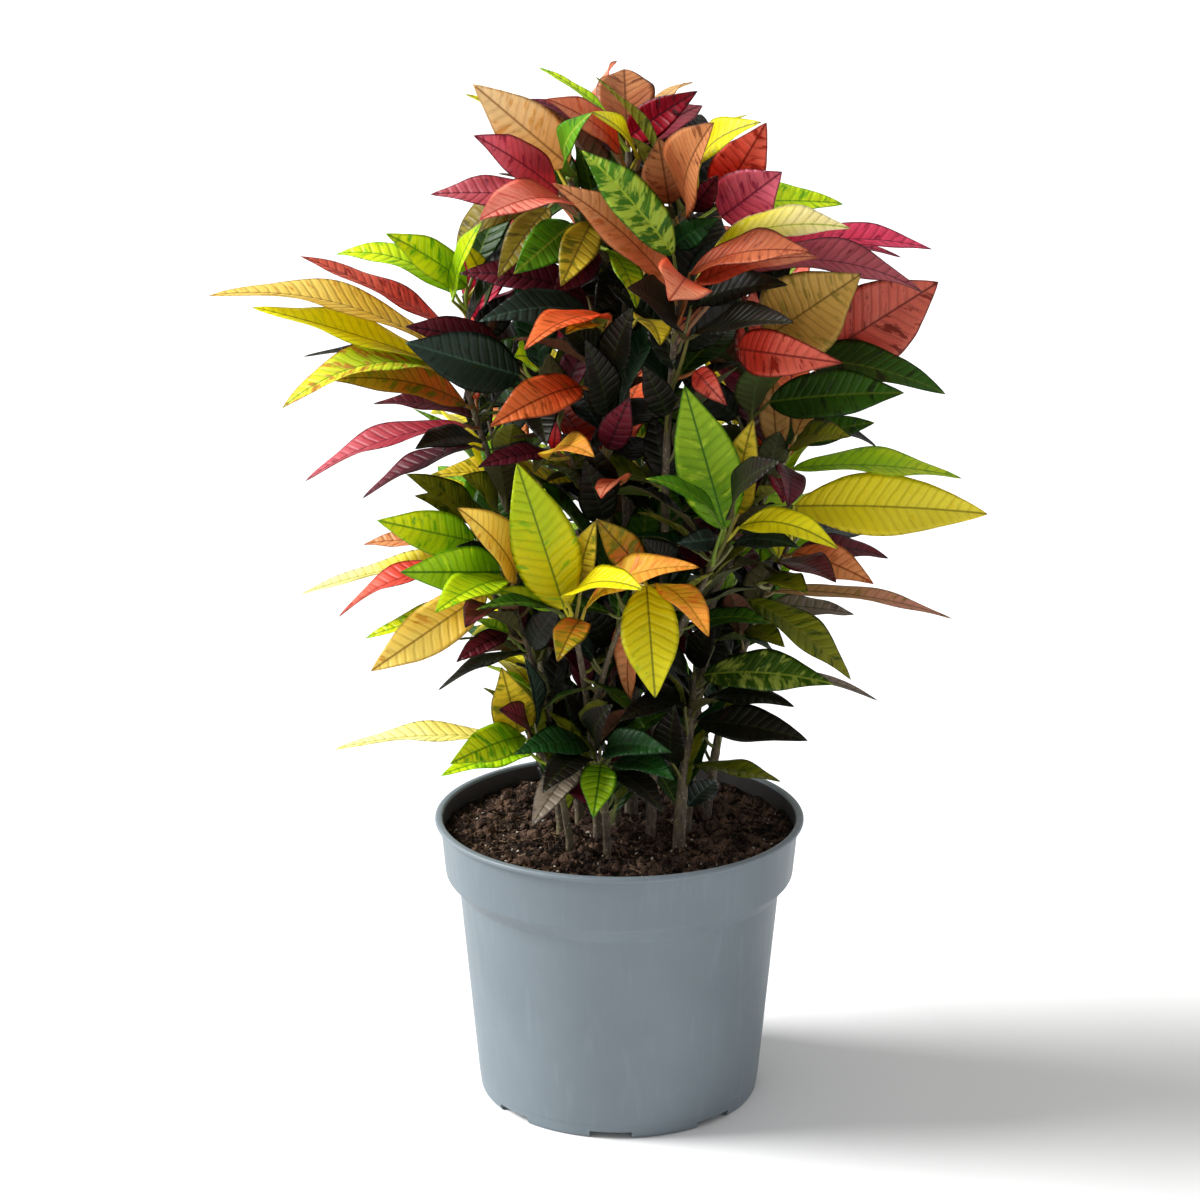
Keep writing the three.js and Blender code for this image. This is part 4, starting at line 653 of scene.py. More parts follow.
def corners_of(leaf):
    """The tip and the edge corners that a leaf's solid has."""
    left, over = axes_of(leaf)
    phase = draw(leaf.seed, 7) * DRAWN_TURN
    corners = [mid_line(leaf, 1)]
    for share in leaf.stations:
        half = leaf.width * 0.5 * half_width_share(share)
        for hand, lag in ((1, 0), (-1, RIPPLE_LAG)):
            rise = half * FOLD + ripple_of(leaf, half, share, phase + lag)
            corners.append(mid_line(leaf, share) + left * (half * hand) + over * rise)
    return corners


def standing(leaf_at, turns, solid_points):
    """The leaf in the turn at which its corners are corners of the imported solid, if there is one."""
    best, best_found = None, CORNERS_NEEDED
    for turn in turns:
        leaf = leaf_at(turn)
        corners = corners_of(leaf)
        met = [solid_points.find(corner)[2] < CORNER_WITHIN for corner in corners]
        found = sum(met) / len(met)
        if met[0] and found > best_found:
            best, best_found = leaf, found
    return best


def solid_points_of(name):
    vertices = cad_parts[name].data.vertices
    tree = kdtree.KDTree(len(vertices))
    for index, vertex in enumerate(vertices):
        tree.insert(vertex.co / MM, index)
    tree.balance()
    return tree


plants = []
for number, (name, (foot, radius, branches, rows)) in enumerate(STEMS.items()):
    plants.append(SimpleNamespace(name=name, number=number, foot=foot, radius=radius, rows=rows,
                                  whorls=[branch[:2] for branch in branches],
                                  paths=paths_of(foot, branches), leaves=[],
                                  solid=solid_points_of(name)))


def add_standing(plant, leaf_at, turns):
    leaf = standing(leaf_at, turns, plant.solid)
    if leaf:
        plant.leaves.append(leaf)


for plant in plants:
    for order, row in enumerate(plant.rows):
        taken = [leaf.root for leaf in plant.leaves]
        path, seed = plant.paths[row[0]], plant.number * 100 + order
        add_standing(plant, lambda turn: seen_leaf(row, path, taken, seed, turn), SEEN_TURNS)
for plant in plants:
    for index, (whorl, path) in enumerate(zip(plant.whorls, plant.paths)):
        for order in range(whorl[0]):
            seed = 5000 + plant.number * 100 + index * 40 + order
            add_standing(plant, lambda turn: rule_leaf(whorl, order, path, seed, turn), RULE_TURNS)


def outline_of(leaf):
    """A coarse sheet of the blade and its stalk, to keep leaves from passing through one another."""
    left, over = axes_of(leaf)
    points = [leaf.root.lerp(leaf.base, 0.45) + left, leaf.root.lerp(leaf.base, 0.45) - left]
    for share in (0.04, 0.28, 0.52, 0.78, 1.0):
        half = leaf.width * 0.5 * half_width_share(min(share, 0.98)) + CLEARANCE
        middle = mid_line(leaf, share) + over * (half * FOLD * 0.5)
        points += [middle + left * half, middle - left * half]
    faces = []
    for low in range(0, len(points) - 2, 2):
        faces += [(low, low + 1, low + 3), (low, low + 3, low + 2)]
    return points, faces


def inner_leaf(path, order, seed, turn):
    """A small dark leaf, of the many that fill the bush between the stems."""
    swing, lift, scale = turn
    share = mix(*INNER_SPAN, (order + draw(seed, 1)) / INNER_LEAVES)
    heading = order * GOLDEN_TURN + DRAWN_TURN * draw(seed, 9) + math.radians(swing)
    rise = math.radians(mix(*INNER_RISE, draw(seed, 2)) + lift)
    length = mix(*INNER_LENGTH, draw(seed, 3)) * scale
    return leaf_towards(heading, rise, length, place_on(path, share)[0], seed, INNER_HABIT)


# The room for inner leaves, mm: from over the pot's lip to under the bush's top, behind the leaves
# in front, and within a reach from the bush's axis that widens above the lip and narrows at the top.
BUSH_FROM, BUSH_TO, BUSH_FRONT = 204, 640, -66
BUSH_AXIS = (2, 12)
LIP_REACH, BUSH_REACH, TOP_REACH = 62, 118, 66
WIDENS_FROM, WIDENS_OVER, NARROWS_FROM, NARROWS_OVER = 230, 80, 520, 120


def within_bush(leaf):
    """Whether an inner leaf stays inside the bush, clear of the pot's lip and the leaves in front."""
    tip = mid_line(leaf, 1)
    reach = math.hypot(tip.x - BUSH_AXIS[0], tip.y - BUSH_AXIS[1])
    widened = min(1, max(0, tip.z - WIDENS_FROM) / WIDENS_OVER)
    wide = min(mix(LIP_REACH, BUSH_REACH, widened),
               mix(BUSH_REACH, TOP_REACH, max(0, tip.z - NARROWS_FROM) / NARROWS_OVER))
    return BUSH_FROM < tip.z < BUSH_TO and reach < wide and tip.y > BUSH_FRONT


# Small leaves between the larger ones, as read from the viewer, and dark ones where the bush has to be
# closed behind them, their near-black colour painted shade: the stem, then as in its own rows. They are in
# the look alone.
TWIG_LEAVES = (
    ("leafy_stem_centre", (0, -12, 508, -70, -34, 503, -76, 9, 0.06, "olive_gold")),
    ("leafy_stem_centre", (1, -60, 484, -48, -66, 489, -86, 9, 0.05, "yellow_green")),
    ("leafy_stem_centre", (0, 4, 410, -46, -12, 398, -70, 9, 0.06, "coral")),
    ("leafy_stem_centre", (1, -42, 430, -44, -40, 448, -70, 9, 0.05, "crimson")),
    ("leafy_stem_right", (1, 96, 412, -30, 103, 395, -76, 12, 0.06, "crimson")),
    ("leafy_stem_centre", (0, -8, 452, -52, -22, 500, -30, 24, 0.06, "dark")),
    ("leafy_stem_centre", (0, -6, 478, -60, 8, 520, -30, 22, 0.06, "dark")),
    ("leafy_stem_centre", (0, -8, 430, -46, 6, 464, -30, 22, 0.06, "maroon")),
    ("leafy_stem_centre", (0, -8, 396, -36, -20, 436, -30, 24, 0.06, "dark")),
    ("leafy_stem_front", (0, 34, 480, -60, 22, 522, -30, 22, 0.06, "dark")),
    ("leafy_stem_front", (0, 33, 496, -66, 50, 530, -30, 22, 0.06, "dark")),
    ("leafy_stem_front", (0, 30, 452, -56, 14, 484, -30, 20, 0.06, "dark")),
    ("leafy_stem_front", (0, 35, 505, -66, 4, 532, -30, 20, 0.06, "dark")),
    ("leafy_stem_top", (0, 4, 545, 0, -16, 516, -40, 24, 0.06, "dark")),
    ("leafy_stem_top", (1, -14, 555, -10, -42, 528, -40, 22, 0.06, "maroon")),
    ("leafy_stem_top", (0, 4, 500, 0, 22, 548, -10, 24, 0.06, "dark")),
    ("leafy_stem_top", (0, 3, 510, 4, -25, 548, -16, 26, 0.06, "dark")),
    ("leafy_stem_front", (0, 33, 494, -60, 76, 524, -26, 24, 0.06, "dark")),
)
INNER_LEAVES = 22                          # tried on each branch
INNER_SPAN = (0.12, 0.94)                  # from the first to the last, as shares of the branch
INNER_TURNS = (                            # turn and lift in degrees, share of length
    (0, 0, 1), (40, 0, 1), (-40, 0, 1), (0, 25, 0.9), (0, -25, 0.9), (80, 10, 0.85), (-80, 10, 0.85),
    (120, 0, 0.8), (-120, 0, 0.8), (170, 0, 0.8), (60, -20, 0.7), (-60, -20, 0.7), (140, 20, 0.7),
)


def near(low, high, other_low, other_high):
    return all(a < d and c < b for a, b, c, d in zip(low, high, other_low, other_high))


def sheet_of(leaf):
    """The sheet as a search tree, with the corners of the box round it."""
    points, faces = outline_of(leaf)
    low = [min(point[axis] for point in points) for axis in range(3)]
    high = [max(point[axis] for point in points) for axis in range(3)]
    return bvhtree.BVHTree.FromPolygons(points, faces), low, high


sheets = [sheet_of(leaf) for plant in plants for leaf in plant.leaves]


def add_clear(plant, leaves):
    """Adds the first of these leaves that passes through no other."""
    for leaf in leaves:
        tree, low, high = sheet_of(leaf)
        if not any(near(low, high, *box) and tree.overlap(other) for other, *box in sheets):
            sheets.append((tree, low, high))
            plant.leaves.append(leaf)
            return


for order, (name, row) in enumerate(TWIG_LEAVES):
    plant = next(plant for plant in plants if plant.name == name)
    path = plant.paths[row[0]]
    add_clear(plant, [seen_leaf(row, path, [], 9000 + order, turn) for turn in SEEN_TURNS])
for plant in plants:
    for index, path in enumerate(plant.paths):
        for order in range(INNER_LEAVES):
            seed = 7000 + plant.number * 100 + index * 40 + order
            leaves = [inner_leaf(path, order, seed, turn) for turn in INNER_TURNS]
            add_clear(plant, [leaf for leaf in leaves if within_bush(leaf)])


# A leaf that reaches this far from the bush's axis, plus a draw of the spread, isn't of a dark inner kind,
# unless it grows at the front; the dark inner kinds are painted shade. From this height on it is of a high
# kind.
LIT_REACH, LIT_SPREAD, LIT_BEHIND, HIGH_FROM = 78, 30, -10, 450


def kind_of(leaf):
    """The colours of a leaf: as seen, or for one out of sight, by where it reaches, with dark colours as
    painted shade deep in the bush.
    """
    if leaf.kind:
        return leaf.kind
    tip = mid_line(leaf, 1)
    reach = math.hypot(tip.x, tip.y - 10)
    lit = reach > LIT_REACH + LIT_SPREAD * draw(leaf.seed, 11) and tip.y > LIT_BEHIND
    kinds = SHADED_INNER_KINDS if not lit else HIGH_KINDS if tip.z > HIGH_FROM else LOW_KINDS
    return kinds[int(draw(leaf.seed, 12) * len(kinds))]


# ------------------------------------------------------------------ materials


def leaf_surface(name, under):
    """Waxy leathery leaf: coloured along its veins, a soft gloss above and duller beneath."""
    material, tree = new_material(name)
    # Colours of the leaf; habit: mottling, veining, -; chart: along veins, across, leaf;
    # place: share of the length, side, mm to the edge.
    ground, tipward, vein, blotch, edge, habit, chart, place = (
        node(tree, ATTRIBUTE, attribute_name=label)
        for label in ("ground", "tipward", "vein", "blotch", "edge", "habit", "chart", "place"))
    chart = chart.outputs["Vector"]
    habit, chart_parts, place = (
        node(tree, SEPARATE, (vector,))
        for vector in (habit.outputs["Vector"], chart, place.outputs["Vector"]))

    # From the stalk's colour to the tip's, with an uneven front.
    cloud = node(tree, NOISE, {"Vector": chart, "Scale": 0.05, "Detail": 2.0})
    front = node(tree, MULTIPLY_ADD, (cloud, 0.9, -0.45))
    front = node(tree, ADD, (place, front))
    front = node(tree, SMOOTH_RANGE, (front, 0.2, 0.85))
    body = node(tree, MIX_COLOURS, {0: front, 6: ground, 7: tipward})

    # Side veins: `run` counts them, 0 on a vein and 0.5 halfway to the next.
    wander = node(tree, NOISE, {"Vector": chart, "Scale": 0.09, "Detail": 1.0})
    run = node(tree, MULTIPLY, (chart_parts, 1 / VEIN_SPACING))
    run = node(tree, MULTIPLY_ADD, (wander, 0.5, run))
    run = node(tree, PINGPONG, (run, 0.5))
    core = node(tree, SMOOTH_RANGE, (run, 0.015, 0.07, 1.0, 0.0))
    halo = node(tree, SMOOTH_RANGE, (run, 0.04, 0.34, 0.3, 0.0))
    side = node(tree, MAXIMUM, (core, halo))
    fade = node(tree, MAP_RANGE, (place.outputs[2], 0.6, 5.0, 0.25, 1.0))
    side = node(tree, MULTIPLY, (side, fade))
    net = node(tree, VORONOI, {"Vector": chart, "Scale": 0.45},
               feature="DISTANCE_TO_EDGE")
    net = node(tree, MAP_RANGE, (net, 0.0, 0.1, 0.35, 0.0))
    side = node(tree, MAXIMUM, (side, net))
    from_mid = node(tree, ABSOLUTE, (chart_parts.outputs[1],))
    midrib = node(tree, SMOOTH_RANGE, (from_mid, 0.35, 0.95, 1.0, 0.0))
    veining = node(tree, MULTIPLY, (side, habit.outputs[1]))
    drawn = node(tree, MULTIPLY, (midrib, 0.85))
    drawn = node(tree, MAXIMUM, (drawn, veining))

    # Mottles lie between the veins, longer along them than across.
    patch = node(tree, MAPPING, {"Vector": chart, "Scale": (0.16, 0.07, 1.0)})
    patch = node(tree, NOISE, {"Vector": patch, "Scale": 1.0, "Detail": 3.0, "Roughness": 0.6})
    level = node(tree, SUBTRACT, (0.72, habit))
    patch = node(tree, SUBTRACT, (patch, level))
    patch = node(tree, SMOOTH_RANGE, (patch, 0.12, 0.22))
    body = node(tree, MIX_COLOURS, {0: patch, 6: body, 7: blotch})
    rim = node(tree, MAP_RANGE, (place.outputs[2], 0.2, 1.6, 0.8, 0.0))
    body = node(tree, MIX_COLOURS, {0: rim, 6: body, 7: edge})
    body = node(tree, MIX_COLOURS, {0: drawn, 6: body, 7: vein})
    if under:
        body = node(tree, MIX_COLOURS, {0: 0.22, 6: body, 7: paint("a49c60")})

    # The skin swells between the veins, which lie a little sunk above and stand out beneath.
    relief = node(tree, SMOOTH_RANGE, (run, 0.0, 0.3, 1.0 if under else 0.0, 0.0 if under else 1.0))
    grain = node(tree, NOISE, {"Vector": chart, "Scale": 1.6, "Detail": 2.0})
    height = node(tree, MULTIPLY_ADD, (grain, 0.25, relief))
    bump = node(tree, BUMP, {"Strength": 0.7, "Distance": 0.0007, "Height": height})
    rough = node(tree, MAP_RANGE, (grain, 0.3, 0.7, 0.52 if under else 0.34, 0.64 if under else 0.46))
    skin = node(tree, PRINCIPLED, {"Base Color": body, "Roughness": rough, "IOR": 1.45,
                                   "Specular IOR Level": 0.2 if under else 0.36, "Normal": bump})
    glow = node(tree, "ShaderNodeBsdfTranslucent", {"Color": body, "Normal": bump})
    whole = node(tree, "ShaderNodeMixShader", (0.42, skin, glow))
    node(tree, SURFACE_OUTPUT, (whole,))
    return material


leaf_upper = leaf_surface("croton_leaf_upper_waxy", False)
leaf_under = leaf_surface("croton_leaf_underside", True)


def stalk_surface():
    """Leaf stalk: smooth fleshy green to reddish skin, faintly ribbed along its length."""
    material, tree = new_material("leaf_stalk_fleshy")
    tint = node(tree, ATTRIBUTE, attribute_name="tint")
    where = node(tree, TEXTURE_PLACE)
    cloud = node(tree, NOISE, {"Vector": where.outputs["Object"], "Scale": 260.0, "Detail": 3.0})
    shade = node(tree, MAP_RANGE, (cloud, 0.3, 0.7, 0.0, 0.45))
    colour = node(tree, MIX_COLOURS, {0: shade, 6: tint, 7: paint("4a4420")})
    bump = node(tree, BUMP, {"Strength": 0.3, "Distance": 0.0003, "Height": cloud})
    skin = node(tree, PRINCIPLED, {"Base Color": colour, "Roughness": 0.42, "IOR": 1.45, "Normal": bump})
    node(tree, SURFACE_OUTPUT, (skin,))
    return material


def bark_surface():
    """Young croton wood: grey-brown bark, fissured lengthwise, with pale corky pores."""
    material, tree = new_material("croton_bark_young_wood")
    where = node(tree, TEXTURE_PLACE).outputs["Object"]
    stretched = node(tree, MAPPING, {"Vector": where, "Scale": (1.0, 1.0, 0.28)})
    streak = node(tree, NOISE, {"Vector": stretched, "Scale": 420.0, "Detail": 5.0, "Roughness": 0.65})
    patch = node(tree, NOISE, {"Vector": where, "Scale": 70.0, "Detail": 3.0})
    pores = node(tree, VORONOI, {"Vector": where, "Scale": 330.0})
    pore = node(tree, MAP_RANGE, (pores, 0.12, 0.24, 1.0, 0.0))
    shade = node(tree, MAP_RANGE, (streak, 0.32, 0.68))
    colour = node(tree, MIX_COLOURS, {0: shade, 6: paint("2a231b"), 7: paint("6e6050")})
    moss = node(tree, MAP_RANGE, (patch, 0.45, 0.75, 0.0, 0.6))
    colour = node(tree, MIX_COLOURS, {0: moss, 6: colour, 7: paint("6a6238")})
    dots = node(tree, MULTIPLY, (pore, 0.55))
    colour = node(tree, MIX_COLOURS, {0: dots, 6: colour, 7: paint("b0a48c")})
    height = node(tree, MULTIPLY_ADD, (pore, 0.6, streak))
    bump = node(tree, BUMP, {"Strength": 0.7, "Distance": 0.0006, "Height": height})
    skin = node(tree, PRINCIPLED, {"Base Color": colour, "Roughness": 0.82, "Normal": bump})
    node(tree, SURFACE_OUTPUT, (skin,))
    return material


def plastic_surface(name, soil_and_shade_share):
    """Moulded polypropylene: matt blue-grey, fine grain and light scuffs, with some soil on it; a large
    soil share darkens nearly all of it to near black, soil and painted shade together.
    """
    material, tree = new_material(name)
    where = node(tree, TEXTURE_PLACE).outputs["Object"]
    grain = node(tree, NOISE, {"Vector": where, "Scale": 1400.0, "Detail": 2.0})
    cloud = node(tree, NOISE, {"Vector": where, "Scale": 14.0, "Detail": 4.0, "Roughness": 0.55})
    drawn = node(tree, MAPPING, {"Vector": where, "Scale": (1.0, 1.0, 0.12)})
    streak = node(tree, NOISE, {"Vector": drawn, "Scale": 160.0, "Detail": 4.0})
    tone = node(tree, MAP_RANGE, (cloud, 0.3, 0.7))
    colour = node(tree, MIX_COLOURS, {0: tone, 6: paint("646f76"), 7: paint("6c777e")})
    line = node(tree, MAP_RANGE, (streak, 0.55, 0.75, 0.0, 0.25))
    colour = node(tree, MIX_COLOURS, {0: line, 6: colour, 7: paint("808b92")})
    # A smear of soil where the noise is high; with a large share it covers nearly the whole wall in near
    # black, painted shade as well as soil.
    from_level = 0.68 - soil_and_shade_share * 0.6
    most = min(0.95, 0.12 + soil_and_shade_share)
    soil_smear_and_shade = node(tree, NOISE, {"Vector": where, "Scale": 90.0, "Detail": 5.0, "Roughness": 0.7})
    soil_smear_and_shade = node(tree, MAP_RANGE, (soil_smear_and_shade, from_level, 0.86 - soil_and_shade_share * 0.6, 0.0, most))
    colour = node(tree, MIX_COLOURS, {0: soil_smear_and_shade, 6: colour, 7: paint("241c18")})
    rough = node(tree, MAP_RANGE, (streak, 0.3, 0.7, 0.44, 0.58))
    bump = node(tree, BUMP, {"Strength": 0.25, "Distance": 0.0002, "Height": grain})
    skin = node(tree, PRINCIPLED, {"Base Color": colour, "IOR": 1.49, "Roughness": rough, "Normal": bump})
    node(tree, SURFACE_OUTPUT, (skin,))
    return material


def earth_surface(name, dark, light, scale):
    """Peat and its crumbs: dull, fibrous, light brown where dry and nearly black where damp."""
    material, tree = new_material(name)
    where = node(tree, TEXTURE_PLACE).outputs["Object"]
    damp = node(tree, NOISE, {"Vector": where, "Scale": 60.0, "Detail": 5.0, "Roughness": 0.7})
    crumb = node(tree, NOISE, {"Vector": where, "Scale": scale, "Detail": 6.0, "Roughness": 0.75})
    share = node(tree, ADD, (damp, crumb))
    share = node(tree, MAP_RANGE, (share, 0.88, 1.34))
    colour = node(tree, MIX_COLOURS, {0: share, 6: paint(dark), 7: paint(light)})
    bump = node(tree, BUMP, {"Strength": 0.9, "Distance": 0.0012, "Height": crumb})
    skin = node(tree, PRINCIPLED, {"Base Color": colour, "Roughness": 0.95, "Specular IOR Level": 0.15,
                                   "Normal": bump})
    node(tree, SURFACE_OUTPUT, (skin,))
    return material


leaf_stalk = stalk_surface()
bark = bark_surface()
plastic = plastic_surface("polypropylene_moulded_matt", 0.0)
# For the pot's inner wall: a near-black soil smear that also stands for painted shade inside the pot.
plastic_soiled_shaded = plastic_surface("polypropylene_inside_soiled", 0.9)
peat = earth_surface("peat_milled_damp", "0e0906", "3c2a20", 700.0)
peat_crumb = earth_surface("peat_crumbs_dry", "160e0a", "8c6e5c", 900.0)
fibre = earth_surface("peat_fibres", "3a281c", "a08468", 500.0)
perlite = earth_surface("perlite_expanded_grains", "b8b0a0", "f0ece2", 900.0)

# ------------------------------------------------------------------ leaf blades


def blade_tree():
    """Blades on their seats: a flat tube of a grid is bent to each leaf's form.

    The grid goes once round the blade, from its left edge over the upper side to the right edge
    and back beneath, and its rows go from the stalk to the tip.
    """
    tree = new_tree("leaf_blades", {
        "Rows": ("NodeSocketInt", 36),
        "Columns": ("NodeSocketInt", 29),
        "Thickness": ("NodeSocketFloat", 0.0009),
        "Midrib": ("NodeSocketFloat", 0.0008),
        "Fold": ("NodeSocketFloat", FOLD),
        "Upper": ("NodeSocketMaterial", None),
        "Under": ("NodeSocketMaterial", None),
    })
    given = node(tree, GROUP_INPUT).outputs
    grid = node(tree, "GeometryNodeMeshGrid", (1.0, 1.0, given["Columns"], given["Rows"]))
    where = node(tree, SEPARATE, (node(tree, POSITION),))
    round_ = node(tree, ADD, (where, 0.5))
    share = node(tree, ADD, (where.outputs[1], 0.5))
    swing = node(tree, ABSOLUTE, (where,))
    swing = node(tree, MULTIPLY_ADD, (swing, 4.0, -1.0))
    root = node(tree, ABSOLUTE, (swing,))
    root = node(tree, POWER, (root, 0.4))
    side = node(tree, MULTIPLY, (swing, root))
    beneath = node(tree, GREATER_THAN, (round_, 0.5))
    blade = node(tree, STORE_VALUE, {0: grid, 2: "share", 3: share})
    blade = node(tree, STORE_VALUE, {0: blade, 2: "side", 3: side})
    blade = node(tree, STORE_ON_FACES, {0: blade, 2: "beneath", 3: beneath})
    blade = node(tree, STORE_VALUE, {0: blade, 2: "beneath_point", 3: beneath})
    seated = node(tree, INSTANCES, {0: given["Geometry"], 2: blade})
    leaves = node(tree, REALIZE, (seated,))

    read = {}
    for label in ("share", "side", "beneath", "beneath_point", "phase", "half"):
        read[label] = node(tree, NAMED_VALUE, (label,))
    for label in ("base", "along", "bow", "left", "over", "seat"):
        read[label] = node(tree, NAMED_VECTOR, (label,))
    share, side = read["share"], read["side"]
    outline = node(tree, "ShaderNodeFloatCurve", {1: share})
    points = outline.mapping.curves[0].points
    shares = [0.0, 0.03, 0.08, 0.18, 0.32, 0.48, 0.64, 0.78, 0.88, 0.95, 1.0]
    for at in shares[1:-1]:
        points.new(at, 0.0)
    for point, at in zip(points, shares):
        sharper = 0.22 * max(0.0, (at - 0.7) / 0.3)
        point.location = (at, half_width_share(min(at, 0.9999)) * (1 - sharper) if 0 < at < 1 else 0.0)
    outline.mapping.update()
    outline = outline.outputs[0]

    # Half the width at this row, the distance from the midrib, and the rise of the folded halves.
    half = node(tree, MULTIPLY, (read["half"], outline))
    out = node(tree, MULTIPLY, (side, half))
    far = node(tree, ABSOLUTE, (side,))
    square = node(tree, MULTIPLY, (far, far))
    curved = node(tree, MULTIPLY, (square, 0.3))
    fold = node(tree, MULTIPLY_ADD, (far, 0.7, curved))
    fold = node(tree, MULTIPLY, (fold, given["Fold"]))
    rise = node(tree, MULTIPLY, (fold, half))
    # The edges ripple.
    lag = node(tree, MULTIPLY_ADD, (side, -RIPPLE_LAG / 2, RIPPLE_LAG / 2))
    wave = node(tree, MULTIPLY_ADD, (share, RIPPLE_RATE, read["phase"]))
    wave = node(tree, ADD, (wave, lag))
    wave = node(tree, SINE, (wave,))
    height = node(tree, MULTIPLY, (half, 0.12))
    height = node(tree, MINIMUM, (height, RIPPLE * MM))
    height = node(tree, MULTIPLY, (height, square))
    rise = node(tree, MULTIPLY_ADD, (wave, height, rise))
    # Thickness, thin at the edge, and the midrib beneath.
    thin = node(tree, POWER, (square, 3.0))
    thin = node(tree, SUBTRACT, (1.0, thin))
    full = node(tree, MULTIPLY, (outline, 8.0), use_clamp=True)
    thin = node(tree, MULTIPLY, (thin, full))
    thick = node(tree, MULTIPLY, (given["Thickness"], 0.5))
    shell = node(tree, MULTIPLY, (thin, thick))
    from_mid = node(tree, ABSOLUTE, (out,))
    ridge = node(tree, SMOOTH_RANGE, (from_mid, 0.0, 0.0016, 1.0, 0.0))
    taper = node(tree, MULTIPLY_ADD, (share, -0.8, 1.0))
    ridge = node(tree, MULTIPLY, (ridge, taper))
    ridge = node(tree, MULTIPLY, (ridge, full))
    ridge = node(tree, MULTIPLY, (ridge, given["Midrib"]))
    below = node(tree, ADD, (shell, ridge))
    below = node(tree, MULTIPLY, (below, -1.0))
    groove = node(tree, MULTIPLY_ADD, (ridge, 0.25, shell))
    skin = node(tree, MIX_VALUES, {0: read["beneath_point"], 2: groove, 3: below})
    rise = node(tree, ADD, (rise, skin))

    bend = node(tree, SUBTRACT, (1.0, share))
    bend = node(tree, MULTIPLY, (bend, share))
    spot = node(tree, SCALE_VECTOR, {0: read["along"], 1: read["base"], 3: share})
    spot = node(tree, ADD_VECTORS, (spot, read["base"]))
    for direction, amount in (("bow", bend), ("left", out), ("over", rise)):
        part = node(tree, SCALE_VECTOR, {0: read[direction], 3: amount})
        spot = node(tree, ADD_VECTORS, (spot, part))
    leaves = node(tree, SET_POSITION, {0: leaves, 2: spot})

    # A chart of each blade in millimetres: along its slanting veins, across it, and which leaf.
    sizes = node(tree, SEPARATE, (read["seat"],)).outputs     # length mm, number, -
    run = node(tree, MULTIPLY, (share, sizes[0]))
    slant = node(tree, MULTIPLY_ADD, (from_mid, -620.0, run))
    wide = node(tree, MULTIPLY, (out, 1000.0))
    chart = node(tree, COMBINE, (slant, wide, sizes[1]))
    inset = node(tree, SUBTRACT, (half, from_mid))
    inset = node(tree, MULTIPLY, (inset, 1000.0))
    place = node(tree, COMBINE, (share, side, inset))
    leaves = node(tree, STORE_VECTOR, {0: leaves, 2: "chart", 3: chart})
    leaves = node(tree, STORE_VECTOR, {0: leaves, 2: "place", 3: place})
    leaves = node(tree, SET_MATERIAL, {0: leaves, 2: given["Upper"]})
    leaves = node(tree, SET_MATERIAL, (leaves, read["beneath"], given["Under"]))
    leaves = node(tree, "GeometryNodeMergeByDistance", {0: leaves, 2: 1e-05})
    leaves = node(tree, SHADE_SMOOTH, (leaves,))
    node(tree, GROUP_OUTPUT, (leaves,))
    return tree


def rod_tree():
    """Round rods of varying thickness along the lines of a mesh: stems, branches and leaf stalks."""
    tree = new_tree("stems_and_stalks", {
        "Sides": ("NodeSocketInt", 10),
        "Finish": ("NodeSocketMaterial", None),
    })
    given = node(tree, GROUP_INPUT).outputs
    lines = node(tree, "GeometryNodeMeshToCurve", (given["Geometry"],))
    thick = node(tree, NAMED_VALUE, ("thick",))
    ring = node(tree, "GeometryNodeCurvePrimitiveCircle", {0: given["Sides"], 4: 1.0})
    rods = node(tree, "GeometryNodeCurveToMesh", (lines, ring, thick, True))
    rods = node(tree, REALIZE, (rods,))
    rods = node(tree, SHADE_SMOOTH, (rods,))
    rods = node(tree, SET_MATERIAL, {0: rods, 2: given["Finish"]})
    node(tree, GROUP_OUTPUT, (rods,))
    return tree


blades = blade_tree()
rods = rod_tree()


def shifted(colour, factor):
    return tuple(min(1.0, part * factor) for part in colour[:3]) + (1.0,)


def blades_of(plant):
    """The blades of one leafy stem."""
    leaves = plant.leaves
    seats = object_of("seats", [leaf.base for leaf in leaves])
    mesh = seats.data
    axes = [axes_of(leaf) for leaf in leaves]
    give(mesh, "base", "FLOAT_VECTOR", [leaf.base * MM for leaf in leaves])
    give(mesh, "along", "FLOAT_VECTOR", [leaf.along * (leaf.length * MM) for leaf in leaves])
    give(mesh, "bow", "FLOAT_VECTOR", [leaf.normal * (leaf.length * leaf.arch * 4 * MM) for leaf in leaves])
    give(mesh, "left", "FLOAT_VECTOR", [left for left, _ in axes])
    give(mesh, "over", "FLOAT_VECTOR", [over for _, over in axes])
    give(mesh, "half", "FLOAT", [leaf.width * 0.5 * MM for leaf in leaves])
    give(mesh, "phase", "FLOAT", [draw(leaf.seed, 7) * DRAWN_TURN for leaf in leaves])
    give(mesh, "seat", "FLOAT_VECTOR", [(leaf.length, leaf.seed * 37.0 % 911, 0) for leaf in leaves])
    kinds = [LEAF_KINDS[kind_of(leaf)] for leaf in leaves]
    tones = [mix(0.86, 1.14, draw(leaf.seed, 21)) for leaf in leaves]
    for place, label in enumerate(("ground", "tipward", "vein", "blotch", "edge")):
        give(mesh, label, "FLOAT_COLOR",
             [shifted(paint(kind[place]), tone) for kind, tone in zip(kinds, tones)])
    give(mesh, "habit", "FLOAT_VECTOR", [(kind[5], kind[6], 0) for kind in kinds])
    return grown(seats, blades, {"Upper": leaf_upper, "Under": leaf_under}, "blades")


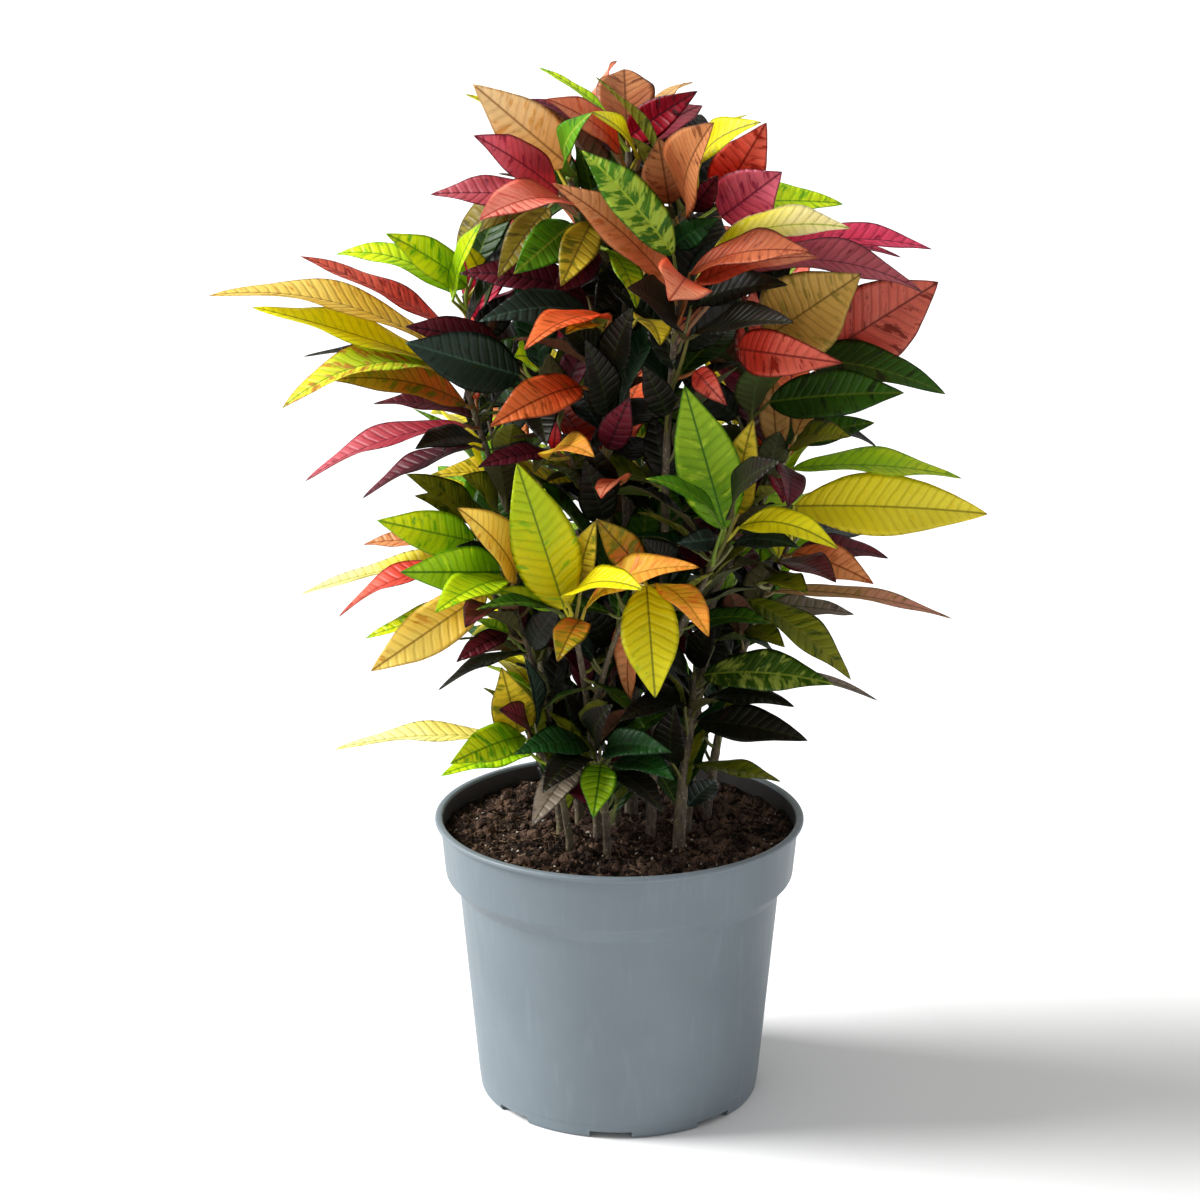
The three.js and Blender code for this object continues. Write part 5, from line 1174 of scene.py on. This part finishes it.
def rods_of(lines, finish, sides, name):
    """Rods along lines of (place, radius, colour)."""
    points = [place for line in lines for place, _, _ in line]
    edges = []
    start = 0
    for line in lines:
        edges += [(start + step, start + step + 1) for step in range(len(line) - 1)]
        start += len(line)
    source = object_of(name, points, edges=edges)
    give(source.data, "thick", "FLOAT", [radius * MM for line in lines for _, radius, _ in line])
    give(source.data, "tint", "FLOAT_COLOR", [colour for line in lines for _, _, colour in line])
    return grown(source, rods, {"Sides": sides, "Finish": finish}, name)


def stalks_of(plant):
    """A stalk from the wood to each blade, running out under the midrib."""
    lines = []
    for leaf in plant.leaves:
        kind = LEAF_KINDS[kind_of(leaf)]
        tint = tuple(mix(a, b, 0.55) for a, b in zip(paint(kind[0]), paint("7c7a3c")))
        over = axes_of(leaf)[1]
        line = []
        for step in range(STALK_STEPS + 1):
            share = step / STALK_STEPS
            sag = over * (-1.2 * math.sin(math.pi * share))
            radius = mix(1.35, 1.0, share) + 0.5 * max(0.0, 1 - share * 5)
            line.append((leaf.root.lerp(leaf.base, share) + sag, radius, tint))
        for share in (0.05, 0.12, 0.2, 0.3):
            line.append((mid_line(leaf, share) - over * (0.55 - 0.9 * share), 0.95 - 2.2 * share, tint))
        lines.append(line)
    return rods_of(lines, leaf_stalk, 8, "stalks")


def wood_of(plant):
    """The stem and its branches, a little swollen where leaves have stood."""
    lines = []
    tint = paint("6a6050")
    for index, path in enumerate(plant.paths):
        start = plant.radius * (1 if index == 0 else BRANCH_SHARE)
        line = []
        if index == 0:
            foot = Vector((*plant.foot, STEM_FOOT))
            line = [(foot.lerp(path[0], step / 8), start, tint) for step in range(8)]
        for step in range(WOOD_STEPS + 1):
            share = step / WOOD_STEPS
            swell = 1 + 0.10 * max(0.0, math.sin(share * 62 + plant.number * 1.7 + index)) ** 4
            radius = start * mix(1, TIP_SHARE, share) * swell
            line.append((place_on(path, share)[0], radius, tint))
        lines.append(line)
    return rods_of(lines, bark, 12, "wood")


for plant in plants:
    foliage = joined([blades_of(plant), stalks_of(plant)], plant.name.replace("leafy_stem", "leaves"))
    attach(foliage, "root")
    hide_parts(plant.name)
    wood = wood_of(plant)
    wood.name = plant.name.replace("leafy_stem", "wood")
    wood.data.name = wood.name
    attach(wood, "root")
    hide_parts(plant.name)

# ------------------------------------------------------------------ pot


def turned(name, profile, steps):
    """A closed body turned about the upright axis, from a profile that starts and ends on it."""
    points = []
    faces = []
    rings = []
    for radius, height in profile:
        if radius == 0:
            rings.append([len(points)] * steps)
            points.append((0, 0, height))
            continue
        rings.append(list(range(len(points), len(points) + steps)))
        for step in range(steps):
            angle = 2 * math.pi * step / steps
            points.append((radius * math.cos(angle), radius * math.sin(angle), height))
    for low, high in zip(rings, rings[1:]):
        for step in range(steps):
            after = (step + 1) % steps
            face = [low[step], low[after], high[after], high[step]]
            faces.append(tuple(dict.fromkeys(face)))
    return object_of(name, points, faces)


def rounded(profile, radius, steps=4):
    """The profile with each corner between its ends rounded off."""
    result = [profile[0]]
    for before, corner, after in zip(profile, profile[1:], profile[2:]):
        before, corner, after = Vector(before), Vector(corner), Vector(after)
        reach_in = min(radius, (corner - before).length * 0.45)
        reach_out = min(radius, (after - corner).length * 0.45)
        start = corner + (before - corner).normalized() * reach_in
        end = corner + (after - corner).normalized() * reach_out
        for step in range(steps + 1):
            t = step / steps
            place = start * (1 - t) ** 2 + corner * (2 * t * (1 - t)) + end * t ** 2
            result.append((place.x, place.y))
    return result + [profile[-1]]


def pot_piece():
    lip_bottom = POT_HEIGHT - LIP_DEPTH
    foot_inner = BASE_RADIUS - 1.5 - FOOT_RING_WIDTH
    profile = rounded([
        (0, 0),
        (MIDDLE_RADIUS - 2, 0),
        (MIDDLE_RADIUS, FLOOR_LIFT),
        (foot_inner - 1, FLOOR_LIFT),
        (foot_inner, 0),
        (BASE_RADIUS - 1.2, 0),
        (BASE_RADIUS - 0.1, 2.4),
        (BASE_RADIUS + 0.35, 8.6),
        (BASE_RADIUS + 0.75, 9.4),
        (BODY_TOP_RADIUS, BODY_TOP_HEIGHT),
        (COLLAR_FOOT_RADIUS, COLLAR_FOOT_HEIGHT),
        (COLLAR_TOP_RADIUS, lip_bottom),
        (RIM_RADIUS - 0.9, lip_bottom + 0.1),
        (RIM_RADIUS, POT_HEIGHT - LIP_DEPTH / 2),
        (RIM_RADIUS - 0.9, POT_HEIGHT),
        (COLLAR_TOP_RADIUS - WALL + 0.6, POT_HEIGHT),
        (COLLAR_TOP_RADIUS - WALL, lip_bottom),
        (COLLAR_FOOT_RADIUS - WALL, COLLAR_FOOT_HEIGHT + 1),
        (BODY_TOP_RADIUS - WALL, BODY_TOP_HEIGHT + 1),
        (BASE_RADIUS - WALL, FLOOR_LIFT + WALL),
        (MIDDLE_RADIUS + WALL, FLOOR_LIFT + WALL),
        (MIDDLE_RADIUS - 1, WALL),
        (0, WALL),
    ], POT_EDGE)
    pot = turned("pot", profile, POT_STEPS)
    cutters = []
    for index in range(FOOT_NOTCHES):
        angle = math.radians(FIRST_NOTCH) + 2 * math.pi * index / FOOT_NOTCHES
        low, high = BASE_RADIUS - FOOT_RING_WIDTH * 1.75, BASE_RADIUS + 8
        out = Vector((math.sin(angle), -math.cos(angle), 0))
        aside = Vector((math.cos(angle), math.sin(angle), 0))
        corners = [out * reach + aside * (NOTCH_WIDTH / 2 * hand) + UP * height
                   for height in (-5, NOTCH_HEIGHT)
                   for reach, hand in ((low, -1), (high, -1), (high, 1), (low, 1))]
        faces = [(0, 3, 2, 1), (4, 5, 6, 7), (0, 1, 5, 4), (1, 2, 6, 5), (2, 3, 7, 6), (3, 0, 4, 7)]
        cutters.append(object_of("notch", corners, faces))
    for index in range(DRAIN_HOLES):
        angle = math.radians(FIRST_NOTCH) + 2 * math.pi * (index + 0.5) / DRAIN_HOLES
        centre = Vector((DRAIN_CIRCLE * math.sin(angle), -DRAIN_CIRCLE * math.cos(angle), 0))
        hole = turned("drain", [(0, FLOOR_LIFT - 3), (DRAIN_RADIUS, FLOOR_LIFT - 3),
                                (DRAIN_RADIUS, FLOOR_LIFT + 6), (0, FLOOR_LIFT + 6)], 24)
        for vertex in hole.data.vertices:
            vertex.co += centre * MM
        cutters.append(hole)
    cutter = joined(cutters, "cutter")
    cut = pot.modifiers.new("cut", "BOOLEAN")
    cut.operation = "DIFFERENCE"
    cut.solver = "EXACT"
    cut.object = cutter
    bpy.context.view_layer.update()
    mesh = bpy.data.meshes.new_from_object(pot.evaluated_get(bpy.context.evaluated_depsgraph_get()))
    pot.modifiers.clear()
    pot.data = mesh
    bpy.data.objects.remove(cutter)
    mesh.materials.clear()
    mesh.materials.append(plastic)
    mesh.materials.append(plastic_soiled_shaded)
    # The inner wall of the collar gets the near-black plastic: soil on it, and painted shade.
    for face in mesh.polygons:
        inward = face.normal.x * face.center.x + face.normal.y * face.center.y < 0
        inside = inward and COLLAR_FOOT_HEIGHT * MM < face.center.z < (POT_HEIGHT - LIP_DEPTH * 0.6) * MM
        face.material_index = 1 if inside else 0
    mesh.shade_smooth()
    mesh.set_sharp_from_angle(angle=math.radians(POT_SHARP_FROM))
    return pot


pot = pot_piece()
pot.name = "pot_moulded"
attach(pot, "root")
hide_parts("pot")

# ------------------------------------------------------------------ soil


def soil_relief(x, y):
    swell = 1.6 * math.sin(x / 17 + 1.3) * math.cos(y / 21 - 0.4)
    return swell + 1.1 * math.sin(x / 5.3 + y / 7.9) * math.cos(y / 4.7 - x / 9.1 + 2)


def soil_piece():
    """The filling of the pot, with a crumbly top."""
    lip_bottom = POT_HEIGHT - LIP_DEPTH
    share = (SOIL_LEVEL - COLLAR_FOOT_HEIGHT) / (lip_bottom - COLLAR_FOOT_HEIGHT)
    edge = mix(COLLAR_FOOT_RADIUS, COLLAR_TOP_RADIUS, share) - WALL - GAP
    top = [(edge * (1 - step / SOIL_RINGS), SOIL_LEVEL) for step in range(SOIL_RINGS)]
    profile = [
        (0, WALL + GAP),
        (MIDDLE_RADIUS - 2, WALL + GAP),
        (MIDDLE_RADIUS + WALL, FLOOR_LIFT + WALL + GAP),
        (BASE_RADIUS - WALL - GAP, FLOOR_LIFT + WALL + GAP),
        (BODY_TOP_RADIUS - WALL - GAP, BODY_TOP_HEIGHT + 1),
        (COLLAR_FOOT_RADIUS - WALL - GAP, COLLAR_FOOT_HEIGHT + 1 + GAP),
        *top,
        (0, SOIL_LEVEL),
    ]
    soil = turned("soil", profile, SOIL_STEPS)
    for vertex in soil.data.vertices:
        x, y, z = vertex.co / MM
        if z > SOIL_LEVEL - 0.1:
            spot = Vector((x, y, 0))
            clods = 3.6 * noise.noise(spot / 9) + 2.2 * noise.noise(spot / 3.6 + Vector((9, 4, 2)))
            settle = min(1.0, (edge - math.hypot(x, y)) / 9)
            vertex.co.z = (SOIL_LEVEL + soil_relief(x, y) * mix(0.6, 1, settle) + clods) * MM
    return soil


def litter_tree():
    """Crumbs, fibres and grains strewn over the top of the soil."""
    tree = new_tree("soil_litter", {
        "Level": ("NodeSocketFloat", (SOIL_LEVEL - 5) * MM),
        "Crumb size": ("NodeSocketFloat", 0.0019),
        "Crumb density": ("NodeSocketFloat", 64000.0),
        "Clod size": ("NodeSocketFloat", 0.0058),
        "Clod density": ("NodeSocketFloat", 8000.0),
        "Fibre length": ("NodeSocketFloat", 0.016),
        "Fibre density": ("NodeSocketFloat", 11000.0),
        "Grain size": ("NodeSocketFloat", 0.0011),
        "Grain density": ("NodeSocketFloat", 4200.0),
        "Soil": ("NodeSocketMaterial", None),
        "Crumbs": ("NodeSocketMaterial", None),
        "Fibres": ("NodeSocketMaterial", None),
        "Grains": ("NodeSocketMaterial", None),
    })
    given = node(tree, GROUP_INPUT).outputs
    height = node(tree, SEPARATE, (node(tree, POSITION),))
    facing = node(tree, SEPARATE, (node(tree, "GeometryNodeInputNormal"),))
    above = node(tree, GREATER_THAN, (height.outputs[2], given["Level"]))
    upward = node(tree, GREATER_THAN, (facing.outputs[2], 0.3))
    top = node(tree, MULTIPLY, (above, upward))
    flat = node(tree, MULTIPLY_VECTORS, (node(tree, POSITION), (1.0, 1.0, 0.0)))
    radius = node(tree, VECTOR_LENGTH, (flat,)).outputs[1]
    soil = node(tree, SET_MATERIAL, {0: given["Geometry"], 2: given["Soil"]})
    crumb = node(tree, "GeometryNodeMeshIcoSphere", (1.0, 1))
    fibre_piece = node(tree, "GeometryNodeMeshCylinder", {0: 4, 1: 5, 3: 1.0, 4: 1.0})
    whole = node(tree, "GeometryNodeJoinGeometry")
    tree.links.new(soil.outputs[0], whole.inputs[0])
    turn = (0.0, 0.0, 0.0), (6.283, 6.283, 6.283)
    flat_turn = (1.25, -0.35, 0.0), (1.85, 0.35, 6.283)
    for shape, size, density, finish, seed, spread, turns, reach in (
            (crumb, "Crumb size", "Crumb density", "Crumbs", 3,
             ((0.35, 0.35, 0.3), (1.25, 1.05, 0.8)), turn, 0.109),
            (crumb, "Clod size", "Clod density", "Crumbs", 19,
             ((0.4, 0.4, 0.3), (1.2, 0.9, 0.7)), turn, 0.103),
            (fibre_piece, "Fibre length", "Fibre density", "Fibres", 7,
             ((0.012, 0.012, 0.3), (0.040, 0.040, 1.2)), flat_turn, 0.100),
            (crumb, "Grain size", "Grain density", "Grains", 11,
             ((0.5, 0.5, 0.5), (1.3, 1.2, 1.1)), turn, 0.109)):
        inside = node(tree, LESS_THAN, (radius, reach))
        inside = node(tree, MULTIPLY, (inside, top))
        spots = node(tree, "GeometryNodeDistributePointsOnFaces", {0: given["Geometry"], 1: inside,
                                                                   4: given[density], 6: seed})
        scale = node(tree, RANDOM_VECTOR, {0: spread[0], 1: spread[1], 8: seed + 1})
        scale = node(tree, SCALE_VECTOR, {0: scale, 3: given[size]})
        angle = node(tree, RANDOM_VECTOR, {0: turns[0], 1: turns[1], 8: seed + 2})
        angle = node(tree, "FunctionNodeEulerToRotation", (angle,))
        strewn = node(tree, INSTANCES, {0: spots, 2: shape, 5: angle, 6: scale})
        strewn = node(tree, REALIZE, (strewn,))
        rough = node(tree, NOISE, {"Scale": 300.0, "Detail": 2.0}).outputs[1]
        rough = node(tree, SUBTRACT_VECTORS, (rough, (0.5, 0.5, 0.5)))
        rough = node(tree, SCALE_VECTOR, {0: rough, 3: 0.0042})
        strewn = node(tree, SET_POSITION, {0: strewn, 3: rough})
        strewn = node(tree, SET_MATERIAL, {0: strewn, 2: given[finish]})
        tree.links.new(strewn.outputs[0], whole.inputs[0])
    made = node(tree, REALIZE, (whole,))
    node(tree, GROUP_OUTPUT, (made,))
    return tree


soil = grown(soil_piece(), litter_tree(), {
    "Soil": peat, "Crumbs": peat_crumb, "Fibres": fibre, "Grains": perlite}, "soil_and_litter")
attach(soil, "root")
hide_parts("soil")

# ------------------------------------------------------------------ stage, light and camera


def floor_surface():
    """Matt white paper, as a photographer's sweep."""
    material, tree = new_material("paper_sweep_white")
    where = node(tree, TEXTURE_PLACE).outputs["Object"]
    tooth = node(tree, NOISE, {"Vector": where, "Scale": 3.0, "Detail": 2.0})
    colour = node(tree, MIX_COLOURS, {0: tooth, 6: paint("ebebeb"), 7: paint("efefef")})
    skin = node(tree, PRINCIPLED, {"Base Color": colour, "Roughness": 0.9, "Specular IOR Level": 0.1})
    node(tree, SURFACE_OUTPUT, (skin,))
    return material


FLOOR_REACH = 20000                        # mm
floor = object_of("floor", [(x * FLOOR_REACH, y * FLOOR_REACH, 0)
                            for x, y in ((-1, -1), (1, -1), (1, 1), (-1, 1))], [(0, 1, 2, 3)])
floor.data.materials.append(floor_surface())

WORLD_ABOVE = 0.55                         # strength of the light from above, by that of the walls
KEY_DIRECTION = Vector((-0.80, 0.07, 0.60))     # towards the large window-like key light
KEY_STRENGTH = 5.8
KEY_SPREAD = 30                            # degrees across
scene = bpy.context.scene
scene.view_settings.view_transform = "Standard"
world = bpy.data.worlds.new("studio")
scene.world = world
world.use_nodes = True
# White walls round the sweep, a softer light from above.
way = node(world.node_tree, TEXTURE_PLACE).outputs["Generated"]
height = node(world.node_tree, SEPARATE, (way,)).outputs[2]
strength = node(world.node_tree, MAP_RANGE, (height, 0.2, 0.3, 1.0, WORLD_ABOVE))
background = world.node_tree.nodes["Background"]
background.inputs[0].default_value = (1.0, 1.0, 1.0, 1.0)
world.node_tree.links.new(strength.outputs[0], background.inputs[1])

key = bpy.data.lights.new("key", "SUN")
key.energy = KEY_STRENGTH
key.angle = math.radians(KEY_SPREAD)
key_object = bpy.data.objects.new("key", key)
key_object.rotation_euler = KEY_DIRECTION.to_track_quat("Z", "Y").to_euler()
scene.collection.objects.link(key_object)

camera = bpy.data.cameras.new("camera")
camera.lens = CAMERA_LENS
camera.sensor_width = 36
camera.clip_end = 100
camera_object = bpy.data.objects.new("camera", camera)
camera_object.location = EYE * MM
camera_object.rotation_euler = (math.pi / 2 - CAMERA_PITCH, 0, 0)
scene.collection.objects.link(camera_object)
scene.camera = camera_object
